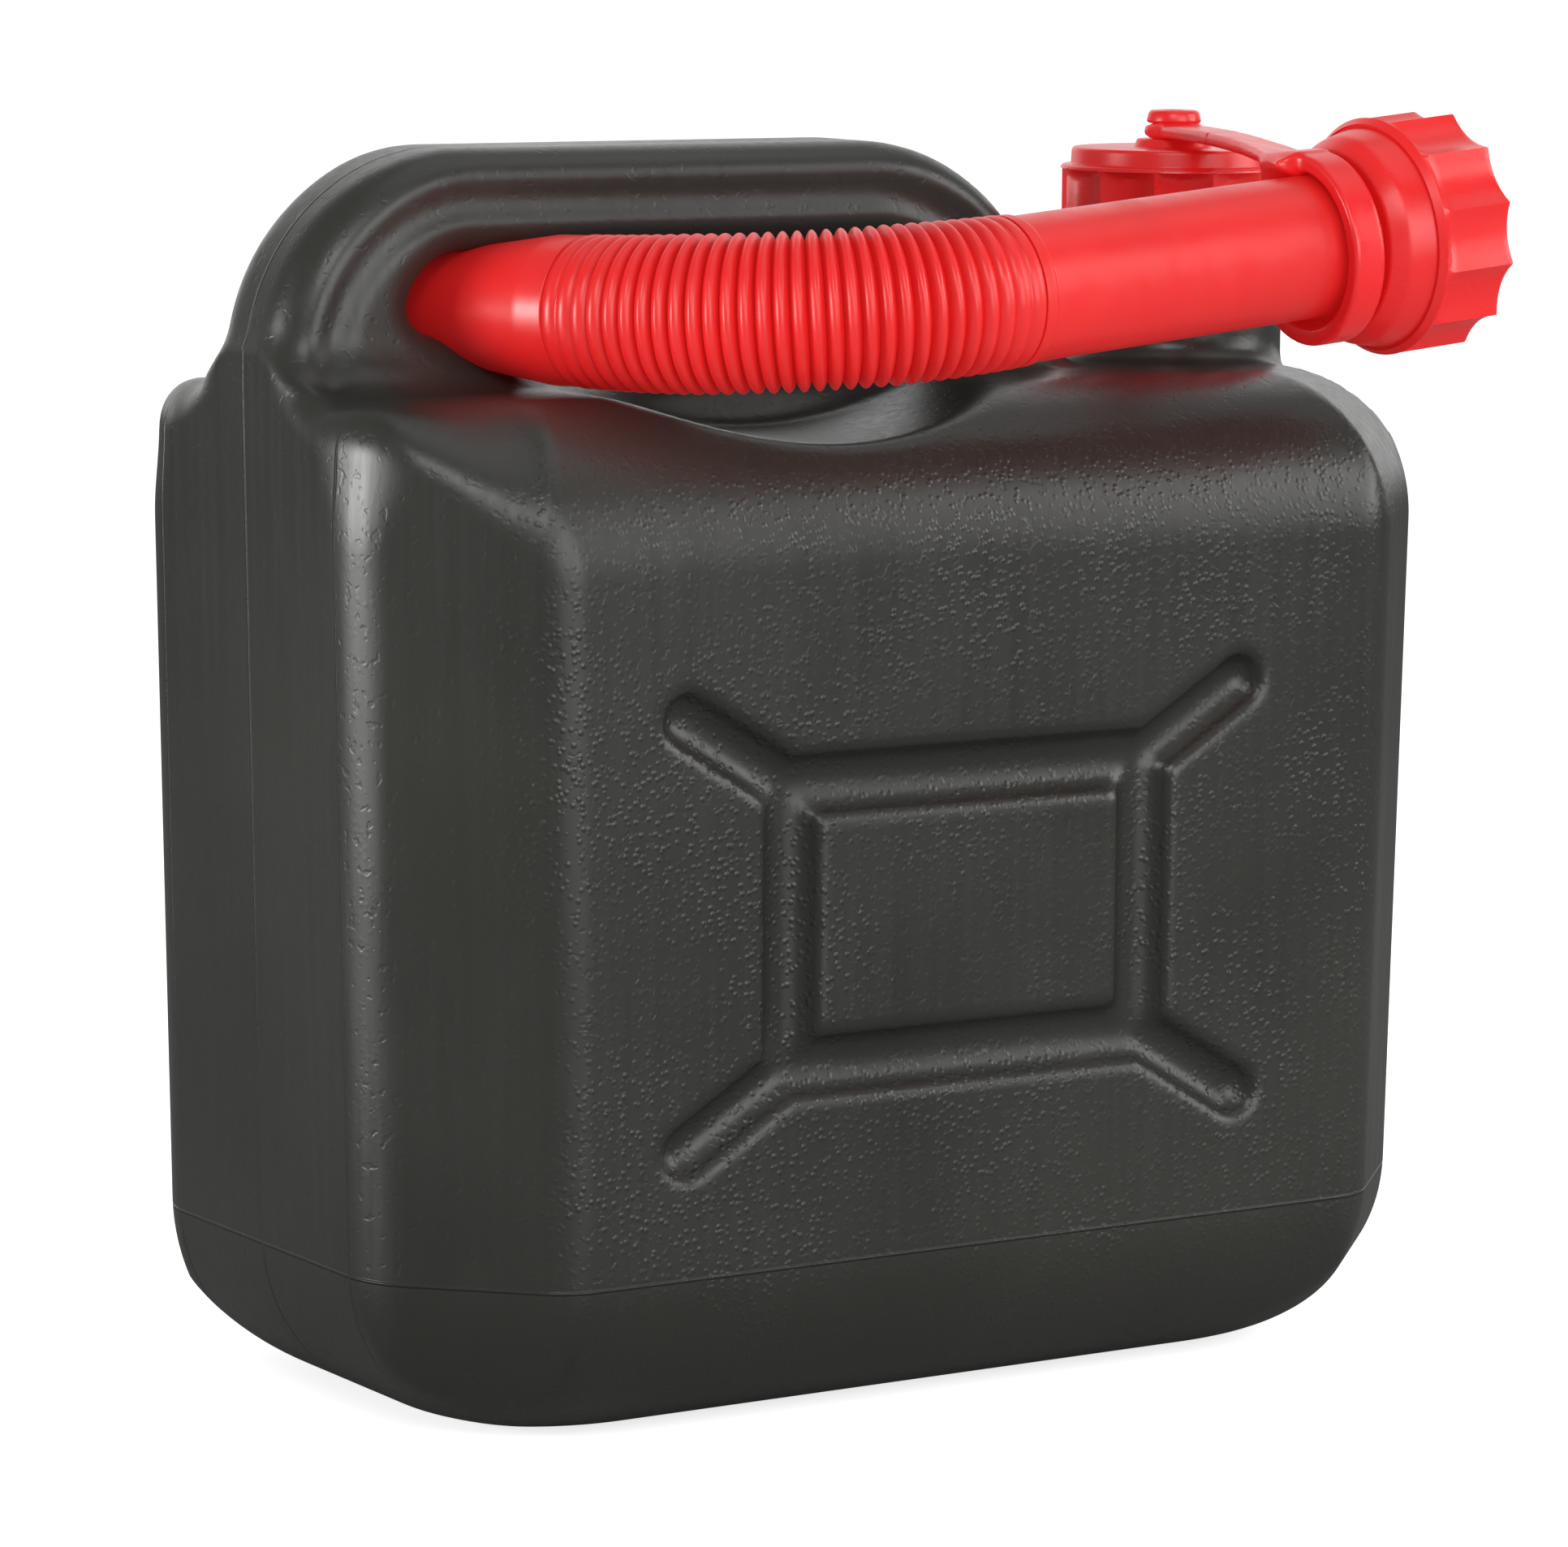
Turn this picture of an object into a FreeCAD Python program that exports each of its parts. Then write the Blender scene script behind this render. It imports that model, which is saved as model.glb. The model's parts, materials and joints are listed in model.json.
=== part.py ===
"""Five litre fuel can with a screw cap and a flexible pouring spout.

Frame: millimetres, +Z up, +X towards the filler neck, +Y towards the back.
The origin is on the floor under the middle of the can, on its mould parting plane.
"""
import FreeCAD, Part
import math
import os

V = FreeCAD.Vector
X_AXIS = V(1, 0, 0)
Y_AXIS = V(0, 1, 0)
Z_AXIS = V(0, 0, 1)

# ---- can body -------------------------------------------------------------
CAN_LENGTH = 260.0            # measured at CAN_WIDEST_HEIGHT
CAN_WIDEST_HEIGHT = 180.0
CAN_END_TAPER = 0.0225        # each end leans outward by this much per millimetre of height
CAN_DEPTH = 147.2
SHOULDER_HEIGHT = 209.0       # flat top beside the handle
CAN_HEIGHT = 257.0            # top of the handle
WALL = 2.4

CORNER_CHAMFER = 29.7         # slanted corner panels between the ends and the sides
CORNER_END_RADIUS = 17.0
CORNER_SIDE_RADIUS = 12.0
BASE_END_RADIUS = 36.0
BASE_SIDE_RADIUS = 38.0
SHOULDER_SIDE_RADIUS = 33.0
SHOULDER_NECK_RADIUS = 34.0
SHOULDER_HANDLE_RADIUS = 15.0
CUTTER_MARGIN = 10.0          # how far cutting solids reach past the can

SCOOP_CENTRE_X = -27.0        # finger scoop across the shoulder, under the handle
SCOOP_DEPTH = 9.5
SCOOP_RADIUS = 106.0

# ---- recessed frame on both sides -----------------------------------------
FRAME_CENTRE_X = -3.9
FRAME_CENTRE_Z = 104.4
FRAME_HALF_WIDTH = 36.2       # to the inner edge of the groove
FRAME_HALF_HEIGHT = 22.0
FRAME_ARM_REACH_X = 72.5      # outermost point of a diagonal arm
FRAME_ARM_REACH_Z = 48.9
GROOVE_WIDTH = 18.0
GROOVE_DEPTH = 4.5

# ---- handle ---------------------------------------------------------------
HANDLE_THICKNESS = 33.0
HANDLE_EDGE_RADIUS = 10.0
HANDLE_BAR_HEIGHT = 20.8
HANDLE_LEFT_X = -130.6
HANDLE_LEFT_RADIUS = 37.0
HANDLE_RIGHT_X = 57.0
HANDLE_RIGHT_RADIUS = 49.0
HANDLE_ROOT_Z = 185.0         # the handle is blown in one with the can from here up
OPENING_LEFT_X = -102.5
OPENING_LEFT_RADIUS = 13.0
OPENING_FLOOR_Z = 206.0

# ---- filler neck and screw thread -----------------------------------------
NECK_X = 96.4
COLLAR_RADIUS = 23.9
COLLAR_TOP = 219.0
NECK_RADIUS = 18.0            # at the root of the thread
NECK_BORE_RADIUS = 15.5
NECK_TOP = 246.8
THREAD_PITCH = 4.0
THREAD_TURNS = 2.0
THREAD_HEIGHT = 1.4
THREAD_ROOT_WIDTH = 1.8
THREAD_TIP_WIDTH = 0.8
THREAD_SINK = 0.3             # the ridge starts this far inside its wall
THREAD_PLAY = 0.35            # radial gap between a ridge and the facing wall
NECK_THREAD_START = 234.0

# ---- scalloped grip, shared by the cap and the union nut --------------------
GRIP_RADIUS = 24.45
SCALLOP_COUNT = 12
SCALLOP_RADIUS = 13.1
SCALLOP_DEPTH = 1.7           # below the chord between two neighbouring ribs
SOCKET_RADIUS = NECK_RADIUS + THREAD_HEIGHT + THREAD_PLAY

# ---- main cap -------------------------------------------------------------
CAP_SKIRT_BOTTOM = 219.6
CAP_SKIRT_TOP = 250.2
CAP_RIM_RADIUS = 23.9
CAP_RIM_HEIGHT = 2.6
CAP_TOP_RADIUS = 21.5
CAP_TOP = 253.9
CAP_CEILING = 248.9
GASKET_THICKNESS = 2.0
GASKET_RADIUS = SOCKET_RADIUS - 0.3
GASKET_GAP = 0.05
BOSS_RADIUS = 8.0
BOSS_TOP = 255.7
STUD_RADIUS = 2.5
STUD_HEAD_RADIUS = 6.2
STUD_HEAD_BOTTOM = 259.0
STUD_HEAD_TOP = 262.0
STUD_HEAD_ROUND = 1.8
STUD_DIMPLE_RADIUS = 2.2
STUD_DIMPLE_DEPTH = 1.2

# ---- spout ----------------------------------------------------------------
SPOUT_START = V(-4.7, -84.0, 230.3)     # where the smooth tube meets the bellows
SPOUT_RISE = 5.5                       # degrees, towards the neck end
NOZZLE_TURN = 70.0                     # degrees, from the tube's line in plan
BELLOWS_BEND_RADIUS = 72
BELLOWS_RIDGES = 30
BELLOWS_CREST_RADIUS = 15.9
BELLOWS_VALLEY_RADIUS = 13.9
BELLOWS_BORE_RADIUS = 12.6
TUBE_RADIUS = 14.7
TUBE_WALL = 1.8
PIECE_GAP = 0.05                       # between neighbouring stretches of the spout
SEWING_TOLERANCE = 1e-4

NOZZLE_SHOULDER_RADIUS = 15.1
NOZZLE_CONE_LENGTH = 22
NOZZLE_RADIUS = 10.6
NOZZLE_TIP_RADIUS = 8.8
NOZZLE_LENGTH = 60
NOZZLE_WALL = 1.6

# Stations along the tube, measured from SPOUT_START.
RING_START = 73.4
RING_LENGTH = 7.4
HUB_START = 81.9
NUT_BACK = 91.3
FLANGE_START = 94.6
FLANGE_LENGTH = 2.4
SPOUT_GASKET_LENGTH = 1.6
NUT_MOUTH = 109.5

HUB_SMALL_RADIUS = 19.2
HUB_LARGE_RADIUS = 22.6
HUB_BORE_RADIUS = TUBE_RADIUS + 0.5
FLANGE_RADIUS = 17.9
FLANGE_PLAY = 0.3                      # between the flange and its seat in the nut
NUT_LIP = 1.2                          # chamfer of the grip's back edge

# ---- retaining strap --------------------------------------------------------
RING_BORE_RADIUS = 16.8
RING_RADIUS = 20.2
RING_SAG = 1.3                         # the ring hangs this far below the tube's centre
EYELET_RADIUS = 6.4
EYELET_BORE_RADIUS = 2.9
STRAP_BOTTOM = 256.2
STRAP_THICKNESS = 2.4
TONGUE_EYELET_WIDTH = 8.0
TONGUE_RING_WIDTH = 5.0
TONGUE_LEAN = 12.0                     # degrees from the ring's top towards the cap
TONGUE_HOLD = 19.0                     # radius at which the tongue's end sits in the ring


def rounded_outline(corners):
    """Closed wire through (point, radius) corners; a radius of 0 keeps a corner sharp."""
    edges = []
    tangents = []
    count = len(corners)
    for index, (corner, radius) in enumerate(corners):
        before = (corners[index - 1][0] - corner).normalize()
        after = (corners[(index + 1) % count][0] - corner).normalize()
        if radius == 0:
            tangents.append((corner, corner, None))
            continue
        half_angle = before.getAngle(after) / 2
        reach = radius / math.tan(half_angle)
        bisector = (before + after).normalize()
        middle = corner + bisector * (radius / math.sin(half_angle) - radius)
        tangents.append((corner + before * reach, corner + after * reach, middle))
    for index, (start, end, middle) in enumerate(tangents):
        if middle is not None:
            edges.append(Part.Arc(start, middle, end).toShape())
        following = tangents[(index + 1) % count][0]
        if (following - end).Length > 1e-6:
            edges.append(Part.makeLine(end, following))
    return Part.Wire(edges)


def slab(corners, direction, inset):
    """Solid of a rounded outline, shrunk by inset and swept along direction."""
    face = Part.Face(rounded_outline(corners))
    if inset > 0:
        face = face.makeOffset2D(-inset)
    return face.extrude(direction)


def can_block(inset):
    """Rounded block of the can: the space common to its plan, side and end outlines."""
    half_depth = CAN_DEPTH / 2
    half_length = CAN_LENGTH / 2
    low_half = half_length - CAN_END_TAPER * CAN_WIDEST_HEIGHT
    high_half = half_length + CAN_END_TAPER * (SHOULDER_HEIGHT - CAN_WIDEST_HEIGHT)
    low = -CUTTER_MARGIN
    rise = SHOULDER_HEIGHT + 2 * CUTTER_MARGIN

    plan = []
    for x_sign, y_sign in ((1, -1), (1, 1), (-1, 1), (-1, -1)):
        end_corner = (V(x_sign * high_half, y_sign * (half_depth - CORNER_CHAMFER), low), CORNER_END_RADIUS)
        side_corner = (V(x_sign * (high_half - CORNER_CHAMFER), y_sign * half_depth, low), CORNER_SIDE_RADIUS)
        pair = [side_corner, end_corner]
        if x_sign * y_sign > 0:
            pair.reverse()
        plan.extend(pair)

    depth = CAN_DEPTH + 2 * CUTTER_MARGIN
    side = [
        (V(-low_half, -depth / 2, 0), BASE_END_RADIUS),
        (V(low_half, -depth / 2, 0), BASE_END_RADIUS),
        (V(high_half, -depth / 2, SHOULDER_HEIGHT), SHOULDER_NECK_RADIUS),
        (V(-high_half, -depth / 2, SHOULDER_HEIGHT), SHOULDER_HANDLE_RADIUS),
    ]
    length = CAN_LENGTH + 4 * CUTTER_MARGIN
    end = [
        (V(-length / 2, -half_depth, 0), BASE_SIDE_RADIUS),
        (V(-length / 2, half_depth, 0), BASE_SIDE_RADIUS),
        (V(-length / 2, half_depth, SHOULDER_HEIGHT), SHOULDER_SIDE_RADIUS),
        (V(-length / 2, -half_depth, SHOULDER_HEIGHT), SHOULDER_SIDE_RADIUS),
    ]
    block = slab(plan, Z_AXIS * rise, inset)
    block = block.common(slab(side, Y_AXIS * depth, inset))
    return block.common(slab(end, X_AXIS * length, inset))


def scoop(extra):
    """Cylinder that cuts the finger scoop; extra widens it for the inner surface."""
    radius = SCOOP_RADIUS + extra
    centre_z = SHOULDER_HEIGHT - SCOOP_DEPTH + SCOOP_RADIUS
    reach = CAN_DEPTH / 2 + CUTTER_MARGIN
    return Part.makeCylinder(radius, 2 * reach, V(SCOOP_CENTRE_X, -reach, centre_z), Y_AXIS)


def capsule(start, end, radius):
    """Cylinder with round ends between two points."""
    along = end - start
    body = Part.makeCylinder(radius, along.Length, start, along)
    return body.fuse([Part.makeSphere(radius, start), Part.makeSphere(radius, end)])


def frame_grooves(side, extra):
    """Round-bottomed grooves of the recessed frame on one side of the can."""
    round_radius = ((GROOVE_WIDTH / 2) ** 2 + GROOVE_DEPTH ** 2) / (2 * GROOVE_DEPTH)
    y = side * (CAN_DEPTH / 2 + round_radius - GROOVE_DEPTH)
    half_groove = GROOVE_WIDTH / 2
    bar_x = FRAME_HALF_WIDTH + half_groove
    bar_z = FRAME_HALF_HEIGHT + half_groove
    arm_x = FRAME_ARM_REACH_X - half_groove
    arm_z = FRAME_ARM_REACH_Z - half_groove
    centre = V(FRAME_CENTRE_X, y, FRAME_CENTRE_Z)
    corners = [V(sx * bar_x, 0, sz * bar_z) + centre for sx, sz in ((-1, -1), (1, -1), (1, 1), (-1, 1))]
    tips = [V(sx * arm_x, 0, sz * arm_z) + centre for sx, sz in ((-1, -1), (1, -1), (1, 1), (-1, 1))]
    radius = round_radius + extra
    grooves = []
    for index in range(4):
        grooves.append(capsule(corners[index - 1], corners[index], radius))
        grooves.append(capsule(corners[index], tips[index], radius))
    return grooves[0].fuse(grooves[1:])


def handle_plate(inset):
    """Arch of the handle, without its opening, with rounded outer edges."""
    top = CAN_HEIGHT
    half = HANDLE_THICKNESS / 2 - inset
    corners = [
        (V(HANDLE_LEFT_X + 1, -half, HANDLE_ROOT_Z), 0),
        (V(HANDLE_RIGHT_X, -half, HANDLE_ROOT_Z), 0),
        (V(HANDLE_RIGHT_X, -half, top), HANDLE_RIGHT_RADIUS),
        (V(HANDLE_LEFT_X, -half, top), HANDLE_LEFT_RADIUS),
    ]
    plate = slab(corners, Y_AXIS * (2 * half), inset)
    rim = [edge for edge in plate.Edges if runs_round_arch(edge, half, HANDLE_ROOT_Z + inset)]
    return plate.makeFillet(HANDLE_EDGE_RADIUS - inset, rim)


def runs_round_arch(edge, half, root_z):
    """True for the edges of a plate that lie in its front or back face, above its root."""
    box = edge.BoundBox
    in_face = abs(box.YMin - box.YMax) < 1e-6 and abs(abs(box.YMin) - half) < 1e-6
    return in_face and box.ZMax > root_z + 1


def handle_opening(inset):
    """Solid that cuts the hand opening; a negative inset widens it for the inner surface."""
    half = HANDLE_THICKNESS / 2 + CUTTER_MARGIN
    top = CAN_HEIGHT - HANDLE_BAR_HEIGHT
    right = HANDLE_RIGHT_X - HANDLE_BAR_HEIGHT
    inner_radius = HANDLE_RIGHT_RADIUS - HANDLE_BAR_HEIGHT
    corners = [
        (V(OPENING_LEFT_X + inset, -half, OPENING_FLOOR_Z + inset), OPENING_LEFT_RADIUS - inset),
        (V(right - inset, -half, OPENING_FLOOR_Z + inset), 0),
        (V(right - inset, -half, top - inset), inner_radius - inset),
        (V(OPENING_LEFT_X + inset, -half, top - inset), OPENING_LEFT_RADIUS - inset),
    ]
    return slab(corners, Y_AXIS * (2 * half), 0)


def thread_ridge(wall_radius, start_z, turns, outward):
    """Right-handed helical ridge about the Z axis that stands outward or inward from a wall."""
    direction = 1 if outward else -1
    root = wall_radius - direction * THREAD_SINK
    tip = wall_radius + direction * THREAD_HEIGHT
    helix = Part.makeHelix(THREAD_PITCH, THREAD_PITCH * turns, wall_radius)
    profile = Part.makePolygon([
        V(root, 0, -THREAD_ROOT_WIDTH / 2),
        V(tip, 0, -THREAD_TIP_WIDTH / 2),
        V(tip, 0, THREAD_TIP_WIDTH / 2),
        V(root, 0, THREAD_ROOT_WIDTH / 2),
        V(root, 0, -THREAD_ROOT_WIDTH / 2),
    ])
    ridge = Part.Wire(helix.Edges).makePipeShell([profile], True, True)
    ridge.translate(V(0, 0, start_z))
    return ridge


def tube_between(outer_radius, inner_radius, low, high):
    """Straight tube about the Z axis."""
    outer = Part.makeCylinder(outer_radius, high - low, V(0, 0, low))
    inner = Part.makeCylinder(inner_radius, high - low, V(0, 0, low))
    return outer.cut(inner)


def can_body():
    """Hollow can with handle, scoop, recessed frames and threaded neck."""
    block = can_block(0).cut(scoop(0))
    handle = handle_plate(0).cut(handle_opening(0))
    collar = Part.makeCylinder(COLLAR_RADIUS, COLLAR_TOP - HANDLE_ROOT_Z, V(NECK_X, 0, HANDLE_ROOT_Z))
    neck = Part.makeCylinder(NECK_RADIUS, NECK_TOP - COLLAR_TOP + 1, V(NECK_X, 0, COLLAR_TOP - 1))
    ridge = thread_ridge(NECK_RADIUS, NECK_THREAD_START, THREAD_TURNS, True)
    ridge.translate(V(NECK_X, 0, 0))
    outer = block.fuse([handle, collar, neck])
    for side in (-1, 1):
        outer = outer.cut(frame_grooves(side, 0))
    outer = outer.fuse(ridge)

    cavity = can_block(WALL).cut(scoop(WALL))
    for side in (-1, 1):
        cavity = cavity.cut(frame_grooves(side, WALL))
    hollow_handle = handle_plate(WALL).cut(handle_opening(-WALL))
    bore = Part.makeCylinder(NECK_BORE_RADIUS, NECK_TOP - HANDLE_ROOT_Z, V(NECK_X, 0, HANDLE_ROOT_Z))
    cavity = cavity.fuse([hollow_handle, bore])
    return outer.cut(cavity)


def scalloped_grip(low, high):
    """Solid grip about the Z axis with concave scallops all round."""
    grip = Part.makeCylinder(GRIP_RADIUS, high - low, V(0, 0, low))
    chord_distance = GRIP_RADIUS * math.cos(math.pi / SCALLOP_COUNT)
    cutter_distance = chord_distance - SCALLOP_DEPTH + SCALLOP_RADIUS
    cutters = []
    for index in range(SCALLOP_COUNT):
        angle = 2 * math.pi * index / SCALLOP_COUNT
        centre = V(cutter_distance * math.cos(angle), cutter_distance * math.sin(angle), low)
        cutters.append(Part.makeCylinder(SCALLOP_RADIUS, high - low, centre))
    return grip.cut(cutters)


def main_cap():
    """Screw cap: scalloped skirt, rim, top disc, boss and the stud that holds the strap."""
    rim_bottom = CAP_SKIRT_TOP - CAP_RIM_HEIGHT
    skirt = scalloped_grip(CAP_SKIRT_BOTTOM, rim_bottom)
    rim = Part.makeCylinder(CAP_RIM_RADIUS, CAP_RIM_HEIGHT, V(0, 0, rim_bottom))
    disc = Part.makeCylinder(CAP_TOP_RADIUS, CAP_TOP - CAP_SKIRT_TOP, V(0, 0, CAP_SKIRT_TOP))
    boss = Part.makeCylinder(BOSS_RADIUS, BOSS_TOP - CAP_TOP, V(0, 0, CAP_TOP))
    post = Part.makeCylinder(STUD_RADIUS, STUD_HEAD_BOTTOM - BOSS_TOP, V(0, 0, BOSS_TOP))
    head_height = STUD_HEAD_TOP - STUD_HEAD_BOTTOM
    head = Part.makeCylinder(STUD_HEAD_RADIUS, head_height, V(0, 0, STUD_HEAD_BOTTOM))
    top_edge = [edge for edge in head.Edges if edge.BoundBox.ZMin > STUD_HEAD_TOP - 1e-6]
    head = head.makeFillet(STUD_HEAD_ROUND, top_edge)
    dimple_base = V(0, 0, STUD_HEAD_TOP - STUD_DIMPLE_DEPTH)
    dimple = Part.makeCone(STUD_DIMPLE_RADIUS / 2, STUD_DIMPLE_RADIUS, STUD_DIMPLE_DEPTH, dimple_base)
    socket = Part.makeCylinder(SOCKET_RADIUS, CAP_CEILING - CAP_SKIRT_BOTTOM, V(0, 0, CAP_SKIRT_BOTTOM))
    cap = skirt.fuse([rim, disc, boss, post, head.cut(dimple)]).removeSplitter().cut(socket)
    first_turn = NECK_THREAD_START + THREAD_PITCH / 2
    cap = cap.fuse(thread_ridge(SOCKET_RADIUS, first_turn, THREAD_TURNS, False))
    cap.translate(V(NECK_X, 0, 0))
    return cap


def main_cap_gasket():
    """Flat ring between the cap's ceiling and the top of the neck."""
    top = CAP_CEILING - GASKET_GAP
    ring = tube_between(GASKET_RADIUS, NECK_BORE_RADIUS, top - GASKET_THICKNESS, top)
    ring.translate(V(NECK_X, 0, 0))
    return ring


def tube_direction():
    """Unit vector along the smooth tube, towards the union nut."""
    rise = math.radians(SPOUT_RISE)
    return V(math.cos(rise), 0, math.sin(rise))


def nozzle_direction():
    """Unit vector along the nozzle, towards its tip."""
    turn = math.radians(NOZZLE_TURN)
    return V(-math.cos(turn), math.sin(turn), 0)


def place_on_tube(shape):
    """Moves a shape built about the Z axis so that Z runs along the tube from its start."""
    shape.Placement = FreeCAD.Placement(SPOUT_START, FreeCAD.Rotation(Z_AXIS, tube_direction()))
    return shape


def bellows_frame(share):
    """Point and direction on the centre line of the bellows, from the tube (0) to the nozzle (1)."""
    leave = tube_direction() * -1
    arrive = nozzle_direction()
    inward = (arrive - leave * arrive.dot(leave)).normalize()
    angle = leave.getAngle(arrive) * share
    centre = SPOUT_START + inward * BELLOWS_BEND_RADIUS
    point = centre - inward * (BELLOWS_BEND_RADIUS * math.cos(angle))
    point = point + leave * (BELLOWS_BEND_RADIUS * math.sin(angle))
    return point, inward * math.sin(angle) + leave * math.cos(angle)


def circle_on_bellows(share, radius):
    """Circle across the bellows at a share of its length."""
    point, direction = bellows_frame(share)
    return Part.Wire(Part.makeCircle(radius, point, direction))


def bellows_skin(radii):
    """Faces through circles of the given radii, spread evenly along the bellows."""
    last = len(radii) - 1
    circles = [circle_on_bellows(step / last, radius) for step, radius in enumerate(radii)]
    return Part.makeLoft(circles, False, True).Faces


def spout_bellows():
    """Corrugated stretch of the spout, bent from the tube's line to the nozzle's line."""
    steps = 2 * BELLOWS_RIDGES
    folds = [BELLOWS_CREST_RADIUS if step % 2 else BELLOWS_VALLEY_RADIUS for step in range(steps + 1)]
    faces = bellows_skin(folds) + bellows_skin([BELLOWS_BORE_RADIUS] * (steps + 1))
    for share in (0, 1):
        disc = Part.Face(circle_on_bellows(share, BELLOWS_VALLEY_RADIUS))
        hole = Part.Face(circle_on_bellows(share, BELLOWS_BORE_RADIUS))
        faces.extend(disc.cut(hole).Faces)
    shell = Part.makeShell(faces)
    shell.sewShape(SEWING_TOLERANCE)
    bellows = Part.makeSolid(shell)
    if bellows.Volume < 0:
        bellows.reverse()
    return bellows


def spout_nozzle():
    """Pouring nozzle: a cone from the bellows down to a slightly tapered pipe."""
    start = PIECE_GAP
    cone_end = start + NOZZLE_CONE_LENGTH
    profile = [
        V(BELLOWS_BORE_RADIUS, 0, start),
        V(NOZZLE_SHOULDER_RADIUS, 0, start),
        V(NOZZLE_RADIUS, 0, cone_end),
        V(NOZZLE_TIP_RADIUS, 0, NOZZLE_LENGTH),
        V(NOZZLE_TIP_RADIUS - NOZZLE_WALL, 0, NOZZLE_LENGTH),
        V(NOZZLE_RADIUS - NOZZLE_WALL, 0, cone_end),
        V(BELLOWS_BORE_RADIUS, 0, start),
    ]
    nozzle = Part.Face(Part.makePolygon(profile)).revolve(V(0, 0, 0), Z_AXIS, 360)
    point, direction = bellows_frame(1)
    nozzle.Placement = FreeCAD.Placement(point, FreeCAD.Rotation(Z_AXIS, direction))
    return nozzle


def spout_tube():
    """Smooth end of the spout with the flange that the union nut pulls on."""
    flange_end = FLANGE_START + FLANGE_LENGTH
    tube = tube_between(TUBE_RADIUS, TUBE_RADIUS - TUBE_WALL, PIECE_GAP, flange_end)
    flange = tube_between(FLANGE_RADIUS, TUBE_RADIUS - TUBE_WALL, FLANGE_START, flange_end)
    return place_on_tube(tube.fuse(flange).removeSplitter())


def spout_gasket():
    """Flat ring between the spout's flange and the can's neck."""
    low = FLANGE_START + FLANGE_LENGTH + GASKET_GAP
    return place_on_tube(tube_between(FLANGE_RADIUS, TUBE_RADIUS - TUBE_WALL, low, low + SPOUT_GASKET_LENGTH))


def spout_union_nut():
    """Scalloped nut with a conical hub; it turns freely on the tube behind the flange."""
    grip = scalloped_grip(NUT_BACK, NUT_MOUTH)
    bevel = Part.makeCone(GRIP_RADIUS - NUT_LIP, GRIP_RADIUS + NUT_LIP, 2 * NUT_LIP, V(0, 0, NUT_BACK))
    straight_start = NUT_BACK + 2 * NUT_LIP
    straight_radius = GRIP_RADIUS + NUT_LIP
    straight = Part.makeCylinder(straight_radius, NUT_MOUTH - straight_start, V(0, 0, straight_start))
    grip = grip.common(bevel.fuse(straight))
    hub = Part.makeCone(HUB_SMALL_RADIUS, HUB_LARGE_RADIUS, NUT_BACK - HUB_START, V(0, 0, HUB_START))
    bore = Part.makeCylinder(HUB_BORE_RADIUS, NUT_MOUTH - HUB_START, V(0, 0, HUB_START))
    seat = FLANGE_START - FLANGE_PLAY
    socket = Part.makeCylinder(SOCKET_RADIUS, NUT_MOUTH - seat, V(0, 0, seat))
    nut = grip.fuse(hub).removeSplitter().cut([bore, socket])
    first_turn = FLANGE_START + FLANGE_LENGTH + SPOUT_GASKET_LENGTH + THREAD_ROOT_WIDTH
    turns = (NUT_MOUTH - first_turn - THREAD_ROOT_WIDTH) / THREAD_PITCH
    return place_on_tube(nut.fuse(thread_ridge(SOCKET_RADIUS, first_turn, turns, False)))


def retaining_strap():
    """Soft strap: eyelet on the cap's stud, flat tongue, and a ring round the spout tube."""
    ring = place_on_tube(tube_between(RING_RADIUS, RING_BORE_RADIUS, RING_START, RING_START + RING_LENGTH))
    ring.translate(V(0, 0, -RING_SAG))
    eye = V(NECK_X, 0, STRAP_BOTTOM)
    eyelet = Part.makeCylinder(EYELET_RADIUS, STRAP_THICKNESS, eye)
    ring_centre = SPOUT_START + tube_direction() * (RING_START + RING_LENGTH / 2)
    lean = math.radians(TONGUE_LEAN)
    across = tube_direction().cross(Y_AXIS)
    landing = ring_centre + across * (math.cos(lean) * TONGUE_HOLD) + Y_AXIS * (math.sin(lean) * TONGUE_HOLD)
    landing = landing - Z_AXIS * RING_SAG
    tongue = Part.makeLoft([
        tongue_section(eye + V(0, -EYELET_BORE_RADIUS - 1, STRAP_THICKNESS / 2), TONGUE_EYELET_WIDTH),
        tongue_section(landing, TONGUE_RING_WIDTH),
    ], True, True)
    bore = Part.makeCylinder(EYELET_BORE_RADIUS, 4 * STRAP_THICKNESS, eye - Z_AXIS * STRAP_THICKNESS)
    return eyelet.fuse([tongue, ring]).cut(bore)


def tongue_section(centre, width):
    """Upright rectangle across the strap's tongue."""
    half_width = width / 2
    half_thickness = STRAP_THICKNESS / 2
    corners = [V(sx * half_width, 0, sz * half_thickness) + centre
               for sx, sz in ((-1, -1), (1, -1), (1, 1), (-1, 1), (-1, -1))]
    return Part.makePolygon(corners)


PIECES = {
    "can_body": can_body,
    "main_cap": main_cap,
    "main_cap_gasket": main_cap_gasket,
    "retaining_strap": retaining_strap,
    "spout_tube": spout_tube,
    "spout_bellows": spout_bellows,
    "spout_nozzle": spout_nozzle,
    "spout_union_nut": spout_union_nut,
    "spout_gasket": spout_gasket,
}

os.makedirs("parts", exist_ok=True)
for name, make in PIECES.items():
    shape = make()
    print(name, "valid", shape.isValid(), "solids", len(shape.Solids))
    shape.exportStep(os.path.join("parts", name + ".step"))
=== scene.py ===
"""Looks of the five litre fuel can: skins, moulded details and materials around the CAD frame."""
import json
import math

import bpy
import numpy as np
from mathutils import Matrix, Vector


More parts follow.
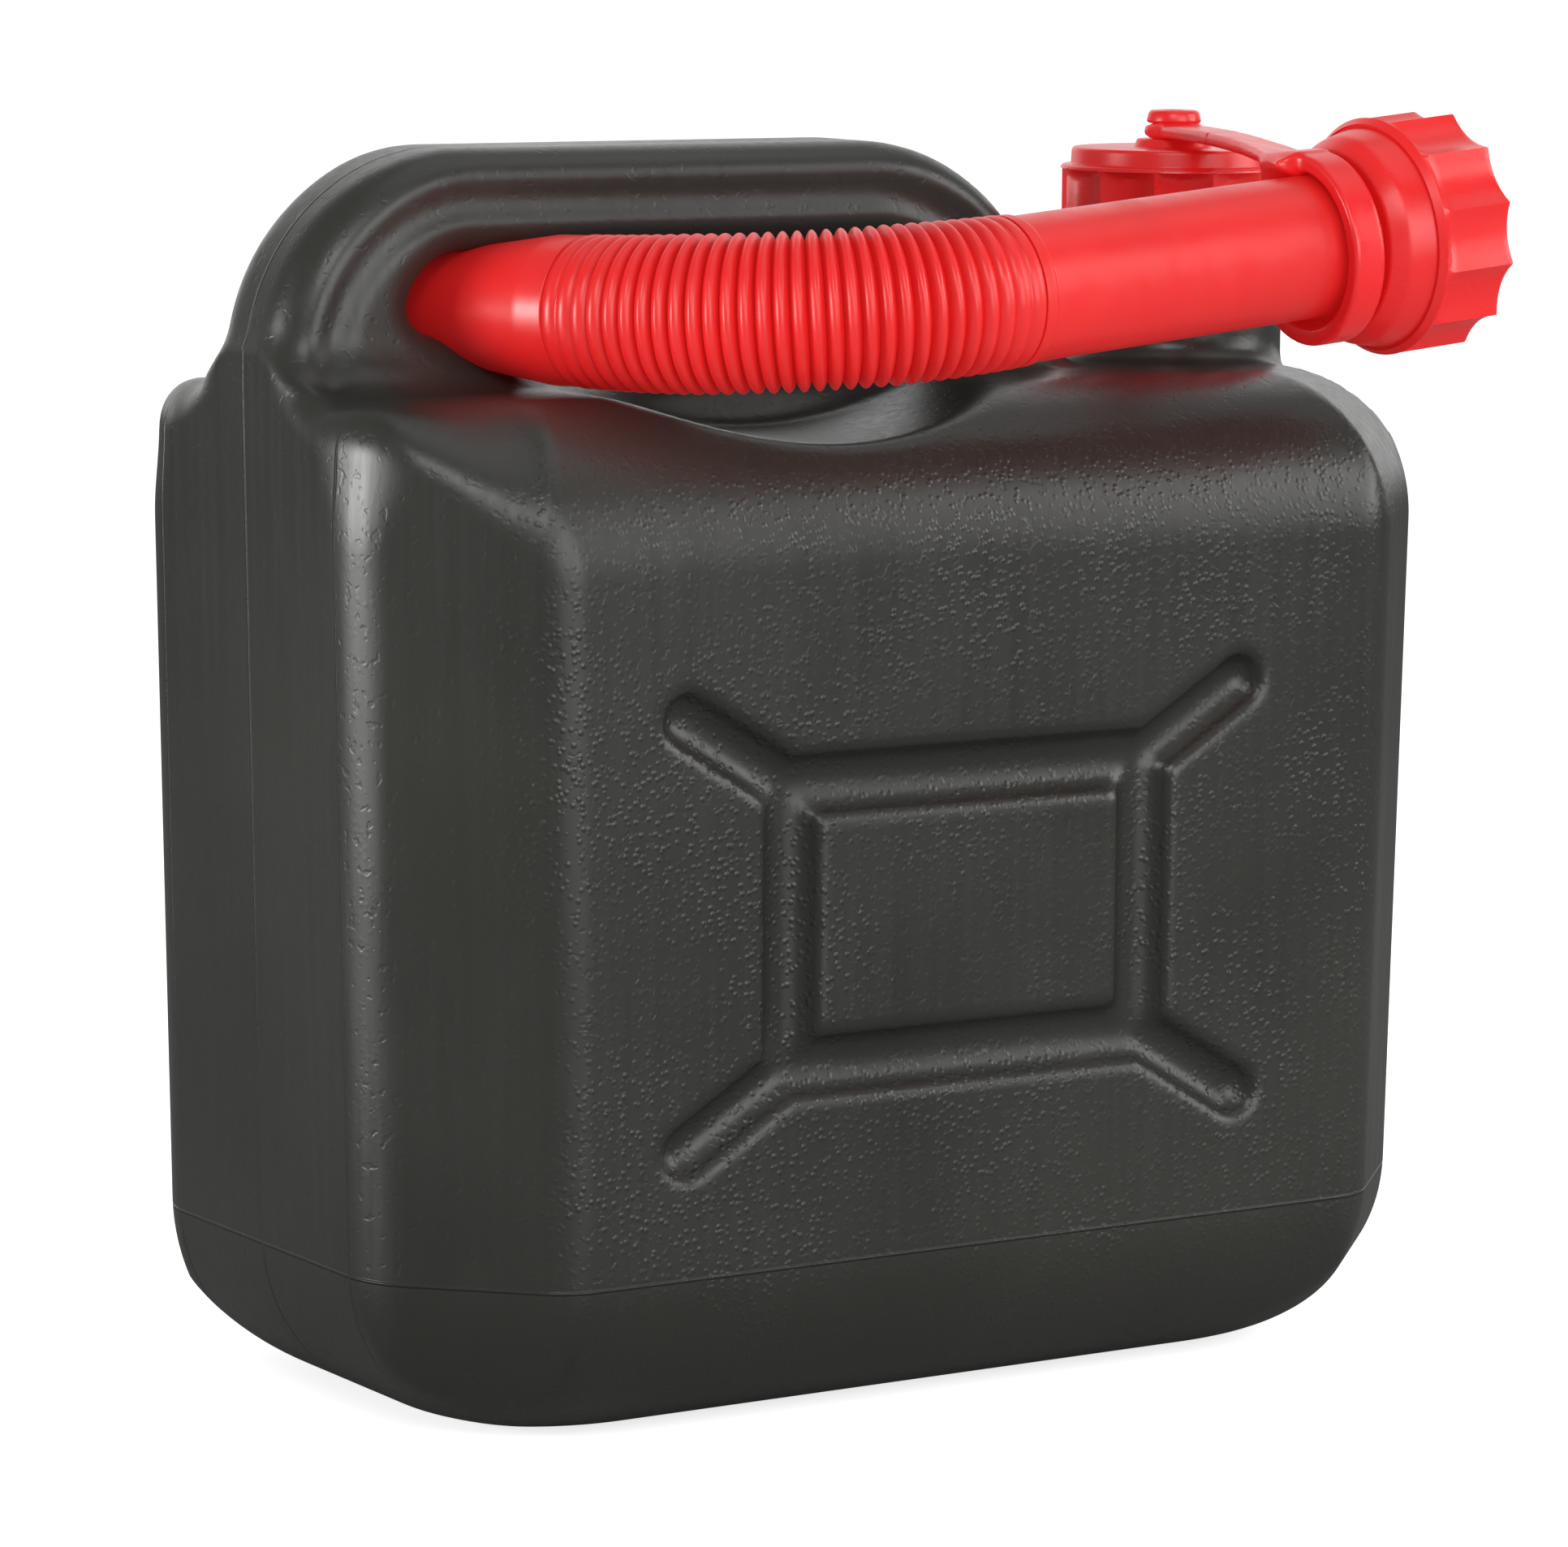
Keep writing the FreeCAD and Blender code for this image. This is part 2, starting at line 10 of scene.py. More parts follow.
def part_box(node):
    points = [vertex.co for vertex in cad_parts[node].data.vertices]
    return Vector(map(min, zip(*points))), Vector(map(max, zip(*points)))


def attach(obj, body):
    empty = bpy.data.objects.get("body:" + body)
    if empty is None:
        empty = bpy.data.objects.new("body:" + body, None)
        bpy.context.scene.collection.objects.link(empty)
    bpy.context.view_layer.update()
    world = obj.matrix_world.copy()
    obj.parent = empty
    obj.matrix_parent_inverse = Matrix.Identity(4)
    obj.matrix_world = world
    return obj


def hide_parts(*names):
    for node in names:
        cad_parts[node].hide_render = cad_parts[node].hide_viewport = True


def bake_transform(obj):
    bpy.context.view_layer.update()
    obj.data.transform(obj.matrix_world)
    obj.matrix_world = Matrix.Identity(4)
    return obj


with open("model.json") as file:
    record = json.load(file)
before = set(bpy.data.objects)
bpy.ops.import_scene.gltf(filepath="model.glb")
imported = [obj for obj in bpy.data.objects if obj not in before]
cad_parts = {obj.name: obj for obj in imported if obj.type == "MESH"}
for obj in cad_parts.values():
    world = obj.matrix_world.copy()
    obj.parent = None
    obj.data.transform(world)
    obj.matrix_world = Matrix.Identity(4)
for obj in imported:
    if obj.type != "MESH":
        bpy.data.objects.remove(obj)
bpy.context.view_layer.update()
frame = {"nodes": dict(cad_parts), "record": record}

MM = 0.001


def joint(name):
    """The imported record's joint of that name."""
    return next(j for j in frame["record"]["behaviour"]["joints"] if j["name"] == name)


# ---- places from the frame, in millimetres ----------------------------------
NECK_X = joint("cap_turn")["pos_m"][0] / MM
TUBE_START = np.array(joint("nut_turn")["pos_m"]) / MM
TUBE_DIRECTION = np.array(joint("nut_turn")["axis"])
CAN_LOW = np.array(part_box("can_body")[0]) / MM
CAN_HIGH = np.array(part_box("can_body")[1]) / MM
CAN_HEIGHT = CAN_HIGH[2]
HALF_DEPTH = CAN_HIGH[1]

# ---- can, in millimetres ----------------------------------------------------
HALF_LENGTH = 130.0             # at the widest height
WIDEST_HEIGHT = 180.0
END_TAPER = 0.0225              # outward lean of the ends
SHOULDER_HEIGHT = 209.0
CORNER_CHAMFER = 29.7           # slanted panels between the ends and the sides
SLANT_ROUND = 4.0
BASE_ROUND = 37.0
BASE_SOFTNESS = 11.0            # easing of the corner panels at the base
BASE_SOFTNESS_TOP = 0.7         # where it ends, as a share of the base rounding
SHOULDER_ROUND = 33.0
EAR_ROUND = 11.0                # shoulder rounding at the handle's end
EAR_START = 2.0                 # stretch from that end over which the rounding grows
EAR_END = 34.0
SMALLEST_ROUND = 0.01           # keeps a fading rounding above zero

SCOOP_X = -27.0
SCOOP_DEPTH = 9.5
SCOOP_RADIUS = 106.0
SCOOP_EDGE_ROUND = 1.5

FRAME_X = -3.9
FRAME_Z = 104.4
FRAME_HALF_WIDTH = 36.2
FRAME_HALF_HEIGHT = 22.0
ARM_REACH_X = 72.5
ARM_REACH_Z = 48.9
BAR_WIDTH = 13.0
ARM_WIDTH = 11.5
GROOVE_DEPTH = 4.6
GROOVE_EDGE_ROUND = 0.9

HANDLE_HALF = 16.5
HANDLE_BAR = 20.8
HANDLE_RIM_ROUND = 8.0
HANDLE_LIP_ROUND = 7.0
HANDLE_FILLET = 8.0
HANDLE_FLARE = 0.5              # outward lean of the left edge below its arc
HANDLE_LEFT = -130.0
HANDLE_LEFT_RADIUS = 44.0
HANDLE_RIGHT = 57.0
HANDLE_RIGHT_RADIUS = 49.0
PLATE_BOTTOM = 150.0            # hidden foot of the handle, inside the can
LEG_START = -118.0              # the leg's own roundings turn into the bar's between these
LEG_END = -90.0
LEG_RIM_ROUND = 11.0
LEG_FILLET = 13.0
OPENING_LEFT = -100.0
OPENING_LEFT_RADIUS = 13.0
OPENING_RIGHT_FLOOR_RADIUS = 3.0
OPENING_FLOOR = 208.5
OPENING_FLOOR_RADIUS = 13.0
SILL_TOP = 222.0
SILL_SLOPE = 0.40
SILL_ROUND = 4.0
CHANNEL_DEPTH = 1.4
CHANNEL_WIDTH = 8.0
CHANNEL_INSET = 10.2
CHANNEL_EDGE_ROUND = 1.0

END_ROUND = 5.5
END_ROUND_TOP = 10.0            # beside the leg, just below the shoulder
END_GROW_Z = (180.0, 200.0)
END_GROW_Y = (14.0, 36.0)
END_FADE_Z = (208.0, CAN_HEIGHT - HANDLE_LEFT_RADIUS + 2)

COLLAR_RADIUS = 23.9
COLLAR_TOP = 219.0
COLLAR_FOOT = 180.0
COLLAR_ROUND = 1.5
COLLAR_FILLET = 5.0
NECK_RADIUS = 18.0
NECK_BORE = 15.5
NECK_FOOT = 200.0
NECK_TOP = 246.8
THREAD_PITCH = 4.0
THREAD_HEIGHT = 1.4
THREAD_HALF_WIDTH = 0.95
THREAD_FLANK = 0.5
THREAD_FADE = 1.0               # rise along the thread at both of its ends
NECK_THREAD_START = 234.0
NECK_THREAD_TURNS = 2.0

SKIN_MARGIN = 2.0               # of the meshing box round the can
RELAX_ROUNDS = 2
PROBE = 0.05                    # reach when a field's slope is measured
LEAST_STEEPNESS = 0.25
LONGEST_MOVE = 1.0

# ---- mould lines, in metres -------------------------------------------------
PARTING_HALF_WIDTH = 0.0006
INSERT_HALF_WIDTH = 0.0005
INSERT_LINE_Y = 36.9 * MM
INSERT_ONLY_BEYOND_X = (0.118, 0.122)
INSERT_ONLY_BELOW_Z = (0.204, 0.198)
BASE_LINE_Z = 35.6 * MM

# ---- colours ----------------------------------------------------------------
BLACK_DEEP = (0.0170, 0.0168, 0.0140)
BLACK_PALE = (0.0250, 0.0248, 0.0210)
RUBBER_DEEP = (0.03, 0.03, 0.03)
RUBBER_PALE = (0.06, 0.058, 0.055)
FLOOR_COLOR = (0.85, 0.85, 0.85)
FLOOR_IN_REFLECTIONS = (0.25, 0.25, 0.25)
FLOOR_LIFT = 0.74               # glow that brings the floor near white for the camera
RED_CAP = (0.66, 0.012, 0.013)
RED_SPOUT = (0.64, 0.013, 0.013)
RED_STRAP = (0.68, 0.011, 0.013)
RED_DEPTH = 0.92                # darker tone of the flow marks
# painted light: a glow of the red parts in their own colour, standing in for fill light on their
# shaded sides
RED_PAINTED_FILL_GLOW = 0.16

# ---- cap and nut ------------------------------------------------------------
GRIP_RADIUS = 24.45
GRIP_BAND = 22.8                # profile radii above this carry the scallops
SCALLOPS = 12
SCALLOP_RADIUS = 13.1
SCALLOP_DEPTH = 1.7
SCALLOP_EDGE = 0.35             # depth over which a scallop's edge is eased
SOCKET_RADIUS = 19.75
CAP_SCALLOP_GAP = 1.0           # plain stretch below the skirt's top
CAP_SCALLOP_RISE = 1.8
CAP_BOTTOM = 219.6
CAP_SKIRT_TOP = 250.2
CAP_TOP = 253.9
CAP_CEILING = 248.9
DISC_RADIUS = 22.0
BOSS_RADIUS = 7.9
BOSS_TOP = 255.7
STUD_RADIUS = 2.6
STUD_HEAD_RADIUS = 6.0
STUD_HEAD_BOTTOM = 259.0
STUD_HEAD_TOP = 262.0
DIMPLE_RADIUS = 2.4
DIMPLE_FLOOR = STUD_HEAD_TOP - 1.3
AXIS_RADIUS = 0.02              # closes a turned piece next to its axis

# ---- spout; lengths run along the tube from the bellows ---------------------
NOZZLE_TURN = math.radians(70.0)
BEND_RADIUS = 72.0
RIDGES = 30
ROWS_PER_RIDGE = 10
CREST_RADIUS = 15.9
END_CREST_RADIUS = 15.35
VALLEY_DEPTH = 2.15
END_VALLEY_DEPTH = 0.55
SWELL_RIDGES = 8.0              # ridges over which both ends swell to full size
CREST_POWER = 0.75              # below one: round crests and tight valleys
BELLOWS_BORE = 12.8
JOIN_GAP = 0.05                 # hairline gap between the bellows and its neighbours
BELLOWS_BLEND = (0.15, 0.85)    # shares of its length; the points there are worked out in assemble but nothing uses them
TUBE_RADIUS = 14.7
TUBE_WALL = 1.8
TUBE_COLLAR_LENGTH = 2.2
TUBE_COLLAR_RADIUS = 15.2
RING_START = 73.4
RING_LENGTH = 7.4
HUB_START = 81.9
HUB_FRONT_RADIUS = 18.8
HUB_RADIUS = 21.4
HUB_BACK_RADIUS = 22.6
NUT_BACK = 91.3
NUT_SCALLOP_GAP = 1.6           # plain stretch at the grip's back
NUT_SCALLOP_RISE = 2.2
FLANGE_START = 94.6
FLANGE_LENGTH = 2.4
FLANGE_RADIUS = 17.9
NUT_THREAD_START = FLANGE_START + 6.0
NUT_THREAD_INSET = 1.8
NUT_MOUTH = 109.5
NOZZLE_SHOULDER_RADIUS = 15.1
NOZZLE_SHOULDER_LENGTH = 7.0
NOZZLE_CONE = 33.0
NOZZLE_RADIUS = 11.6
NOZZLE_TIP_RADIUS = 8.8
NOZZLE_LENGTH = 60.0
NOZZLE_WALL = 1.6
NOZZLE_CURVE = 14.0
NOZZLE_DIRECTION = np.array([-math.cos(NOZZLE_TURN), math.sin(NOZZLE_TURN), 0.0])
NOZZLE_DROOP = np.array([0.0, 0.0, -0.015])

# ---- strap ------------------------------------------------------------------
RING_RADIUS = 18.0
RING_HALF_WALL = 1.7
RING_EDGE_ROUND = 0.9
RING_SAG = np.array([0.0, 0.0, 0.6])
RING_LEAN = np.array([0.0, -0.04, 0.0])
RING_UP = np.array([-0.0958, 0, 0.9954])    # square to the tube
TONGUE_ROOT_RADIUS = 17.0
TONGUE_ROOT_SHIFT = np.array([-1.5, 1.0, 0])
TONGUE_ARCH = 1.2
TONGUE_HALF_WIDTH = 4.2
TONGUE_EYE_WIDENING = 0.8       # from the ring to the eyelet
TONGUE_ROOT_WIDENING = 2.2      # over the first third
TONGUE_HALF_THICKNESS = 1.35
TONGUE_ROOT_THINNING = 0.35     # over the first quarter
TONGUE_FILLET = 4.0
EYE_Z = 257.4
EYE_RADIUS = 2.9
EYE_EDGE_ROUND = 0.3
EYELET_RADIUS = 6.3
EYELET_HALF_THICKNESS = 1.2
EYELET_FILLET = 2.0
STRAP_EDGE_ROUND = 0.8
STRAP_SPLIT_Y = -34.0
STRAP_MARGIN = np.array([4.0, 3.0, 3.0])

# ---- studio, in metres ------------------------------------------------------
FLOOR_HALF_SIZE = 60.0
LIGHT_TARGET = (0, 0, 0.13)
LIGHTS = (                      # name, place, size, power
    ("key_light", (-0.9, -1.3, 1.2), 0.7, 9.0),
    ("top_light", (0.3, -0.2, 1.6), 1.2, 3.0),
    ("side_light", (-1.4, 0.30, 0.25), 0.45, 13.0),
    ("front_light", (0.1, -1.9, 0.5), 1.2, 18.0),
    ("right_light", (1.3, -0.9, 0.7), 0.9, 10.0),
)
CAMERA_PLACE = (-0.7191, -1.1318, 0.3131)
CAMERA_ANGLES = (32.35, 8.06, 0.49)         # yaw, pitch and roll in degrees
CAMERA_LENS = 146.8
BRIGHT_SIDE = (0.53, 0.84, 0.10)            # direction of the bright surroundings
BRIGHT_EDGE = (0.55, 0.85)
DIM_STRENGTH = 0.28
BRIGHT_STRENGTH = 1.1


# ---- mesh helpers -----------------------------------------------------------
def make_object(name, points, faces, material, smooth=True):
    """Mesh object from points in millimetres."""
    mesh = bpy.data.meshes.new(name)
    mesh.from_pydata((np.asarray(points) * MM).tolist(), [], [list(map(int, face)) for face in faces])
    mesh.validate()
    mesh.update()
    obj = bpy.data.objects.new(name, mesh)
    bpy.context.scene.collection.objects.link(obj)
    obj.data.materials.append(material)
    if smooth:
        mesh.shade_smooth()
    return obj


def sharpen(obj, degrees):
    """Keeps edges that turn by more than an angle crisp under smooth shading."""
    obj.data.set_sharp_from_angle(angle=math.radians(degrees))


def grid_faces(rows, columns, close_rows, close_columns):
    """Quads over a grid of rows x columns points, wrapping round where asked."""
    faces = []
    for i in range(rows if close_rows else rows - 1):
        for j in range(columns if close_columns else columns - 1):
            a = i * columns + j
            b = i * columns + (j + 1) % columns
            c = ((i + 1) % rows) * columns + (j + 1) % columns
            d = ((i + 1) % rows) * columns + j
            faces.append((a, b, c, d))
    return faces


def frame_along(origin, direction):
    """Origin and three unit axes, the third along direction and the first as level as possible."""
    third = np.asarray(direction, float) / np.linalg.norm(direction)
    up = np.array([0.0, 0.0, 1.0])
    if abs(third @ up) > 0.99:
        first = np.array([1.0, 0.0, 0.0])
    else:
        first = np.cross(up, third)
        first /= np.linalg.norm(first)
    second = np.cross(third, first)
    return np.asarray(origin, float), first, second, third


def turned(name, profile, place, material, around, sharp, radius_at=None):
    """Solid of revolution from a closed (radius, height) profile about a placed axis.

    Edges that turn by more than sharp degrees stay crisp, and
    radius_at(angles, height, radius) may change the radius round the axis.
    """
    origin, first, second, third = place
    angles = np.linspace(0, 2 * math.pi, around, endpoint=False)
    points = []
    for radius, height in profile:
        radii = np.full(around, float(radius))
        if radius_at is not None:
            radii = radius_at(angles, height, radius)
        ring = np.outer(radii * np.cos(angles), first) + np.outer(radii * np.sin(angles), second)
        points.append(origin + ring + third * height)
    faces = grid_faces(len(profile), around, True, True)
    obj = make_object(name, np.concatenate(points), faces, material)
    sharpen(obj, sharp)
    return obj


def rounded_profile(corners, steps):
    """Closed profile through ((radius, height), rounding) corners, with arcs at the corners."""
    points = []
    count = len(corners)
    for index, (corner, rounding) in enumerate(corners):
        corner = np.array(corner, float)
        before = np.array(corners[index - 1][0], float) - corner
        after = np.array(corners[(index + 1) % count][0], float) - corner
        before /= np.linalg.norm(before)
        after /= np.linalg.norm(after)
        if rounding == 0:
            points.append(tuple(corner))
            continue
        half = math.acos(max(-1.0, min(1.0, before @ after))) / 2
        reach = rounding / math.tan(half)
        bisector = (before + after) / np.linalg.norm(before + after)
        centre = corner + bisector * (rounding / math.sin(half))
        start = corner + before * reach - centre
        end = corner + after * reach - centre
        sweep = math.acos(max(-1.0, min(1.0, (start @ end) / rounding ** 2)))
        for step in range(steps + 1):
            share = step / steps
            mixed = start * math.sin((1 - share) * sweep) + end * math.sin(share * sweep)
            points.append(tuple(centre + mixed / math.sin(sweep)))
    return points


# ---- distance fields --------------------------------------------------------
def common_round(a, b, radius):
    """Intersection of two fields with a rounded edge."""
    inside = np.minimum(np.maximum(a, b), -radius)
    return inside + np.hypot(np.maximum(a + radius, 0), np.maximum(b + radius, 0))


def union_round(a, b, radius):
    """Union of two fields with a fillet."""
    outside = np.maximum(np.minimum(a, b), radius)
    return outside - np.hypot(np.maximum(radius - a, 0), np.maximum(radius - b, 0))


def cut_round(a, b, radius):
    """Field a with field b cut away, with a rounded edge."""
    return common_round(a, -b, radius)


def box_2d(u, v, low, high, radii):
    """Rounded rectangle; radii go round from the corner at low u and low v, along u first."""
    mid_u = (low[0] + high[0]) / 2
    mid_v = (low[1] + high[1]) / 2
    low_radius = np.where(u < mid_u, radii[0], radii[1])
    high_radius = np.where(u < mid_u, radii[3], radii[2])
    radius = np.where(v < mid_v, low_radius, high_radius)
    du = np.abs(u - mid_u) - (high[0] - low[0]) / 2 + radius
    dv = np.abs(v - mid_v) - (high[1] - low[1]) / 2 + radius
    outside = np.hypot(np.maximum(du, 0), np.maximum(dv, 0))
    return np.minimum(np.maximum(du, dv), 0) + outside - radius


def smooth_step(value, low, high):
    """0 below low, 1 above high, and a smooth rise between them."""
    share = np.clip((value - low) / (high - low), 0, 1)
    return share * share * (3 - 2 * share)


def soft_maximum(a, b, width):
    """Larger of two distances, eased where they differ by less than a width."""
    return np.maximum(a, b) + np.maximum(width - np.abs(a - b), 0) ** 2 / (4 * width)


def half_length(z):
    """Half the can's length at a height: the ends lean slightly outwards."""
    return HALF_LENGTH + END_TAPER * (np.minimum(z, SHOULDER_HEIGHT) - WIDEST_HEIGHT)


def block_field(x, y, z):
    """Rounded block with slanted corner panels; its left end is left open above the base."""
    half = half_length(z)
    side = np.abs(y) - HALF_DEPTH
    slant = (np.abs(x) - half + np.abs(y) - HALF_DEPTH + CORNER_CHAMFER) * math.sqrt(0.5)
    plan = common_round(common_round(slant, side, SLANT_ROUND), x - half, END_ROUND)
    soft = BASE_SOFTNESS * (1 - smooth_step(z, 0, BASE_SOFTNESS_TOP * BASE_ROUND)) + SMALLEST_ROUND
    soft_plan = soft_maximum(soft_maximum(slant, side, soft), np.abs(x) - half, soft)
    low = common_round(common_round(plan, -x - half, END_ROUND), -z, BASE_ROUND)
    low = np.maximum(low, common_round(soft_plan, -z, BASE_ROUND))
    growth = smooth_step(x, EAR_START - HALF_LENGTH, EAR_END - HALF_LENGTH)
    shoulder = EAR_ROUND + (SHOULDER_ROUND - EAR_ROUND) * growth
    high = common_round(plan, z - SHOULDER_HEIGHT, shoulder)
    return np.where(z < SHOULDER_HEIGHT / 2, low, high)


def leg_to_bar(x, leg_value, bar_value):
    """A value that turns from the handle's leg to its bar."""
    return leg_value + (bar_value - leg_value) * smooth_step(x, LEG_START, LEG_END)


def opening_field(x, z):
    """Opening under the handle, its floor sloping up to the left."""
    low = (OPENING_LEFT, OPENING_FLOOR)
    high = (HANDLE_RIGHT - HANDLE_BAR, CAN_HEIGHT - HANDLE_BAR)
    radii = (OPENING_FLOOR_RADIUS, OPENING_RIGHT_FLOOR_RADIUS, HANDLE_RIGHT_RADIUS - HANDLE_BAR,
             OPENING_LEFT_RADIUS)
    sill = SILL_TOP - z - SILL_SLOPE * (x - OPENING_LEFT)
    return common_round(box_2d(x, z, low, high, radii), sill, SILL_ROUND)


def handle_field(x, y, z):
    """Arched handle with a channel along both faces."""
    arc_height = CAN_HEIGHT - HANDLE_LEFT_RADIUS
    left = HANDLE_LEFT - HANDLE_FLARE * np.maximum(arc_height - z, 0)
    radii = (0, 0, HANDLE_RIGHT_RADIUS, HANDLE_LEFT_RADIUS)
    arch = box_2d(x, z, (left, PLATE_BOTTOM), (HANDLE_RIGHT, CAN_HEIGHT), radii)
    side = np.abs(y) - HANDLE_HALF
    rim = leg_to_bar(x, LEG_RIM_ROUND, HANDLE_RIM_ROUND)
    handle = cut_round(common_round(arch, side, rim), opening_field(x, z), HANDLE_LIP_ROUND)
    radius = ((CHANNEL_WIDTH / 2) ** 2 + CHANNEL_DEPTH ** 2) / (2 * CHANNEL_DEPTH)
    channel = np.hypot(arch + CHANNEL_INSET, side - radius + CHANNEL_DEPTH) - radius
    return cut_round(handle, channel, CHANNEL_EDGE_ROUND)


def line_distance(u, v, start, end):
    """Distance to a straight stretch in a plane."""
    along = (end[0] - start[0], end[1] - start[1])
    share = ((u - start[0]) * along[0] + (v - start[1]) * along[1]) / (along[0] ** 2 + along[1] ** 2)
    share = np.clip(share, 0, 1)
    return np.hypot(u - start[0] - share * along[0], v - start[1] - share * along[1])


def grooves_field(x, y, z):
    """Grooves of the recessed frame with an elliptical section, the same on both sides."""
    half = BAR_WIDTH / 2
    u = np.abs(x - FRAME_X)
    v = np.abs(z - FRAME_Z)
    corner = (FRAME_HALF_WIDTH + half, FRAME_HALF_HEIGHT + half)
    tip = (ARM_REACH_X - ARM_WIDTH / 2, ARM_REACH_Z - ARM_WIDTH / 2)
    level_bar = line_distance(u, v, (0, corner[1]), corner)
    upright_bar = line_distance(u, v, (corner[0], 0), corner)
    arm = line_distance(u, v, corner, tip)
    across = np.minimum(np.minimum(level_bar, upright_bar) / half, arm / (ARM_WIDTH / 2))
    depth = HALF_DEPTH + GROOVE_EDGE_ROUND - np.abs(y)
    section = np.hypot(across, depth / (GROOVE_DEPTH + GROOVE_EDGE_ROUND)) - 1
    return section * GROOVE_DEPTH


def end_edge(y, z):
    """Rounding of the left end's edges: large beside the leg, fading away up the leg."""
    growth = smooth_step(z, *END_GROW_Z) * smooth_step(np.abs(y), *END_GROW_Y)
    edge = END_ROUND + (END_ROUND_TOP - END_ROUND) * growth
    return edge * (1 - smooth_step(z, *END_FADE_Z)) + SMALLEST_ROUND


def can_field(x, y, z):
    """Outer skin of the can body."""
    scoop_z = SHOULDER_HEIGHT - SCOOP_DEPTH + SCOOP_RADIUS
    scoop = np.hypot(x - SCOOP_X, z - scoop_z) - SCOOP_RADIUS
    body = cut_round(block_field(x, y, z), scoop, SCOOP_EDGE_ROUND)
    body = union_round(body, handle_field(x, y, z), leg_to_bar(x, LEG_FILLET, HANDLE_FILLET))
    closed = common_round(body, -x - half_length(z), end_edge(y, z))
    body = np.where(z < SHOULDER_HEIGHT / 2, body, closed)
    neck = np.hypot(x - NECK_X, y)
    height = np.maximum(z - COLLAR_TOP, COLLAR_FOOT - z)
    collar = common_round(neck - COLLAR_RADIUS, height, COLLAR_ROUND)
    body = union_round(body, collar, COLLAR_FILLET)
    return cut_round(body, grooves_field(x, y, z), GROOVE_EDGE_ROUND)


def surface_points(field, points, steps):
    """Moves points along the field's slope on to its zero level."""
    for _ in range(steps):
        x, y, z = points.T
        value = field(x, y, z)
        slope = np.stack([
            field(x + PROBE, y, z) - field(x - PROBE, y, z),
            field(x, y + PROBE, z) - field(x, y - PROBE, z),
            field(x, y, z + PROBE) - field(x, y, z - PROBE),
        ], axis=1) / (2 * PROBE)
        steepness = np.maximum((slope ** 2).sum(axis=1), LEAST_STEEPNESS)
        move = np.clip(value / steepness, -LONGEST_MOVE, LONGEST_MOVE)
        points = points - slope * move[:, None]
    return points


def skin_of(field, low, high, step):
    """Closed quad mesh of a field's zero level.

    Every crossed cell gives a point and every crossed edge a quad.
    """
    axes = [np.arange(low[k] - step, high[k] + 2 * step, step) for k in range(3)]
    grid = np.meshgrid(*axes, indexing="ij")
    value = field(*grid)
    inside = value < 0
    shape = [len(axis) - 1 for axis in axes]
    total = np.zeros(shape + [3])
    crossings = np.zeros(shape)
    quads = []
    crossed_edges = []
    for axis in range(3):
        near = [slice(None)] * 3
        far = [slice(None)] * 3
        near[axis] = slice(0, -1)
        far[axis] = slice(1, None)
        near, far = tuple(near), tuple(far)
        crossed = inside[near] != inside[far]
        fall = np.where(crossed, value[near] - value[far], 1)
        share = np.where(crossed, value[near] / fall, 0)
        position = np.stack([line[near].astype(float) for line in grid], axis=-1)
        position[..., axis] += share * step
        others = [k for k in range(3) if k != axis]
        for a in (0, 1):
            for b in (0, 1):
                source = [slice(None)] * 3
                source[others[0]] = slice(a, a + shape[others[0]])
                source[others[1]] = slice(b, b + shape[others[1]])
                source = tuple(source)
                total += np.where(crossed[source][..., None], position[source], 0)
                crossings += crossed[source]
        crossed_edges.append((axis, others, crossed, inside[near]))
    cells = crossings > 0
    number = np.full(shape, -1)
    number[cells] = np.arange(cells.sum())
    points = total[cells] / crossings[cells][:, None]
    for axis, others, crossed, starts_inside in crossed_edges:
        index = np.argwhere(crossed)
        keep = (index[:, others[0]] > 0) & (index[:, others[1]] > 0)
        index = index[keep]
        corners = []
        for a, b in ((0, 0), (1, 0), (1, 1), (0, 1)):
            cell = index.copy()
            cell[:, others[0]] -= a
            cell[:, others[1]] -= b
            corners.append(number[tuple(cell.T)])
        quad = np.stack(corners, axis=1)
        outward = starts_inside[tuple(index.T)]
        if axis == 1:
            outward = ~outward
        quad[~outward] = quad[~outward][:, ::-1]
        quads.append(quad)
    return points, np.concatenate(quads)


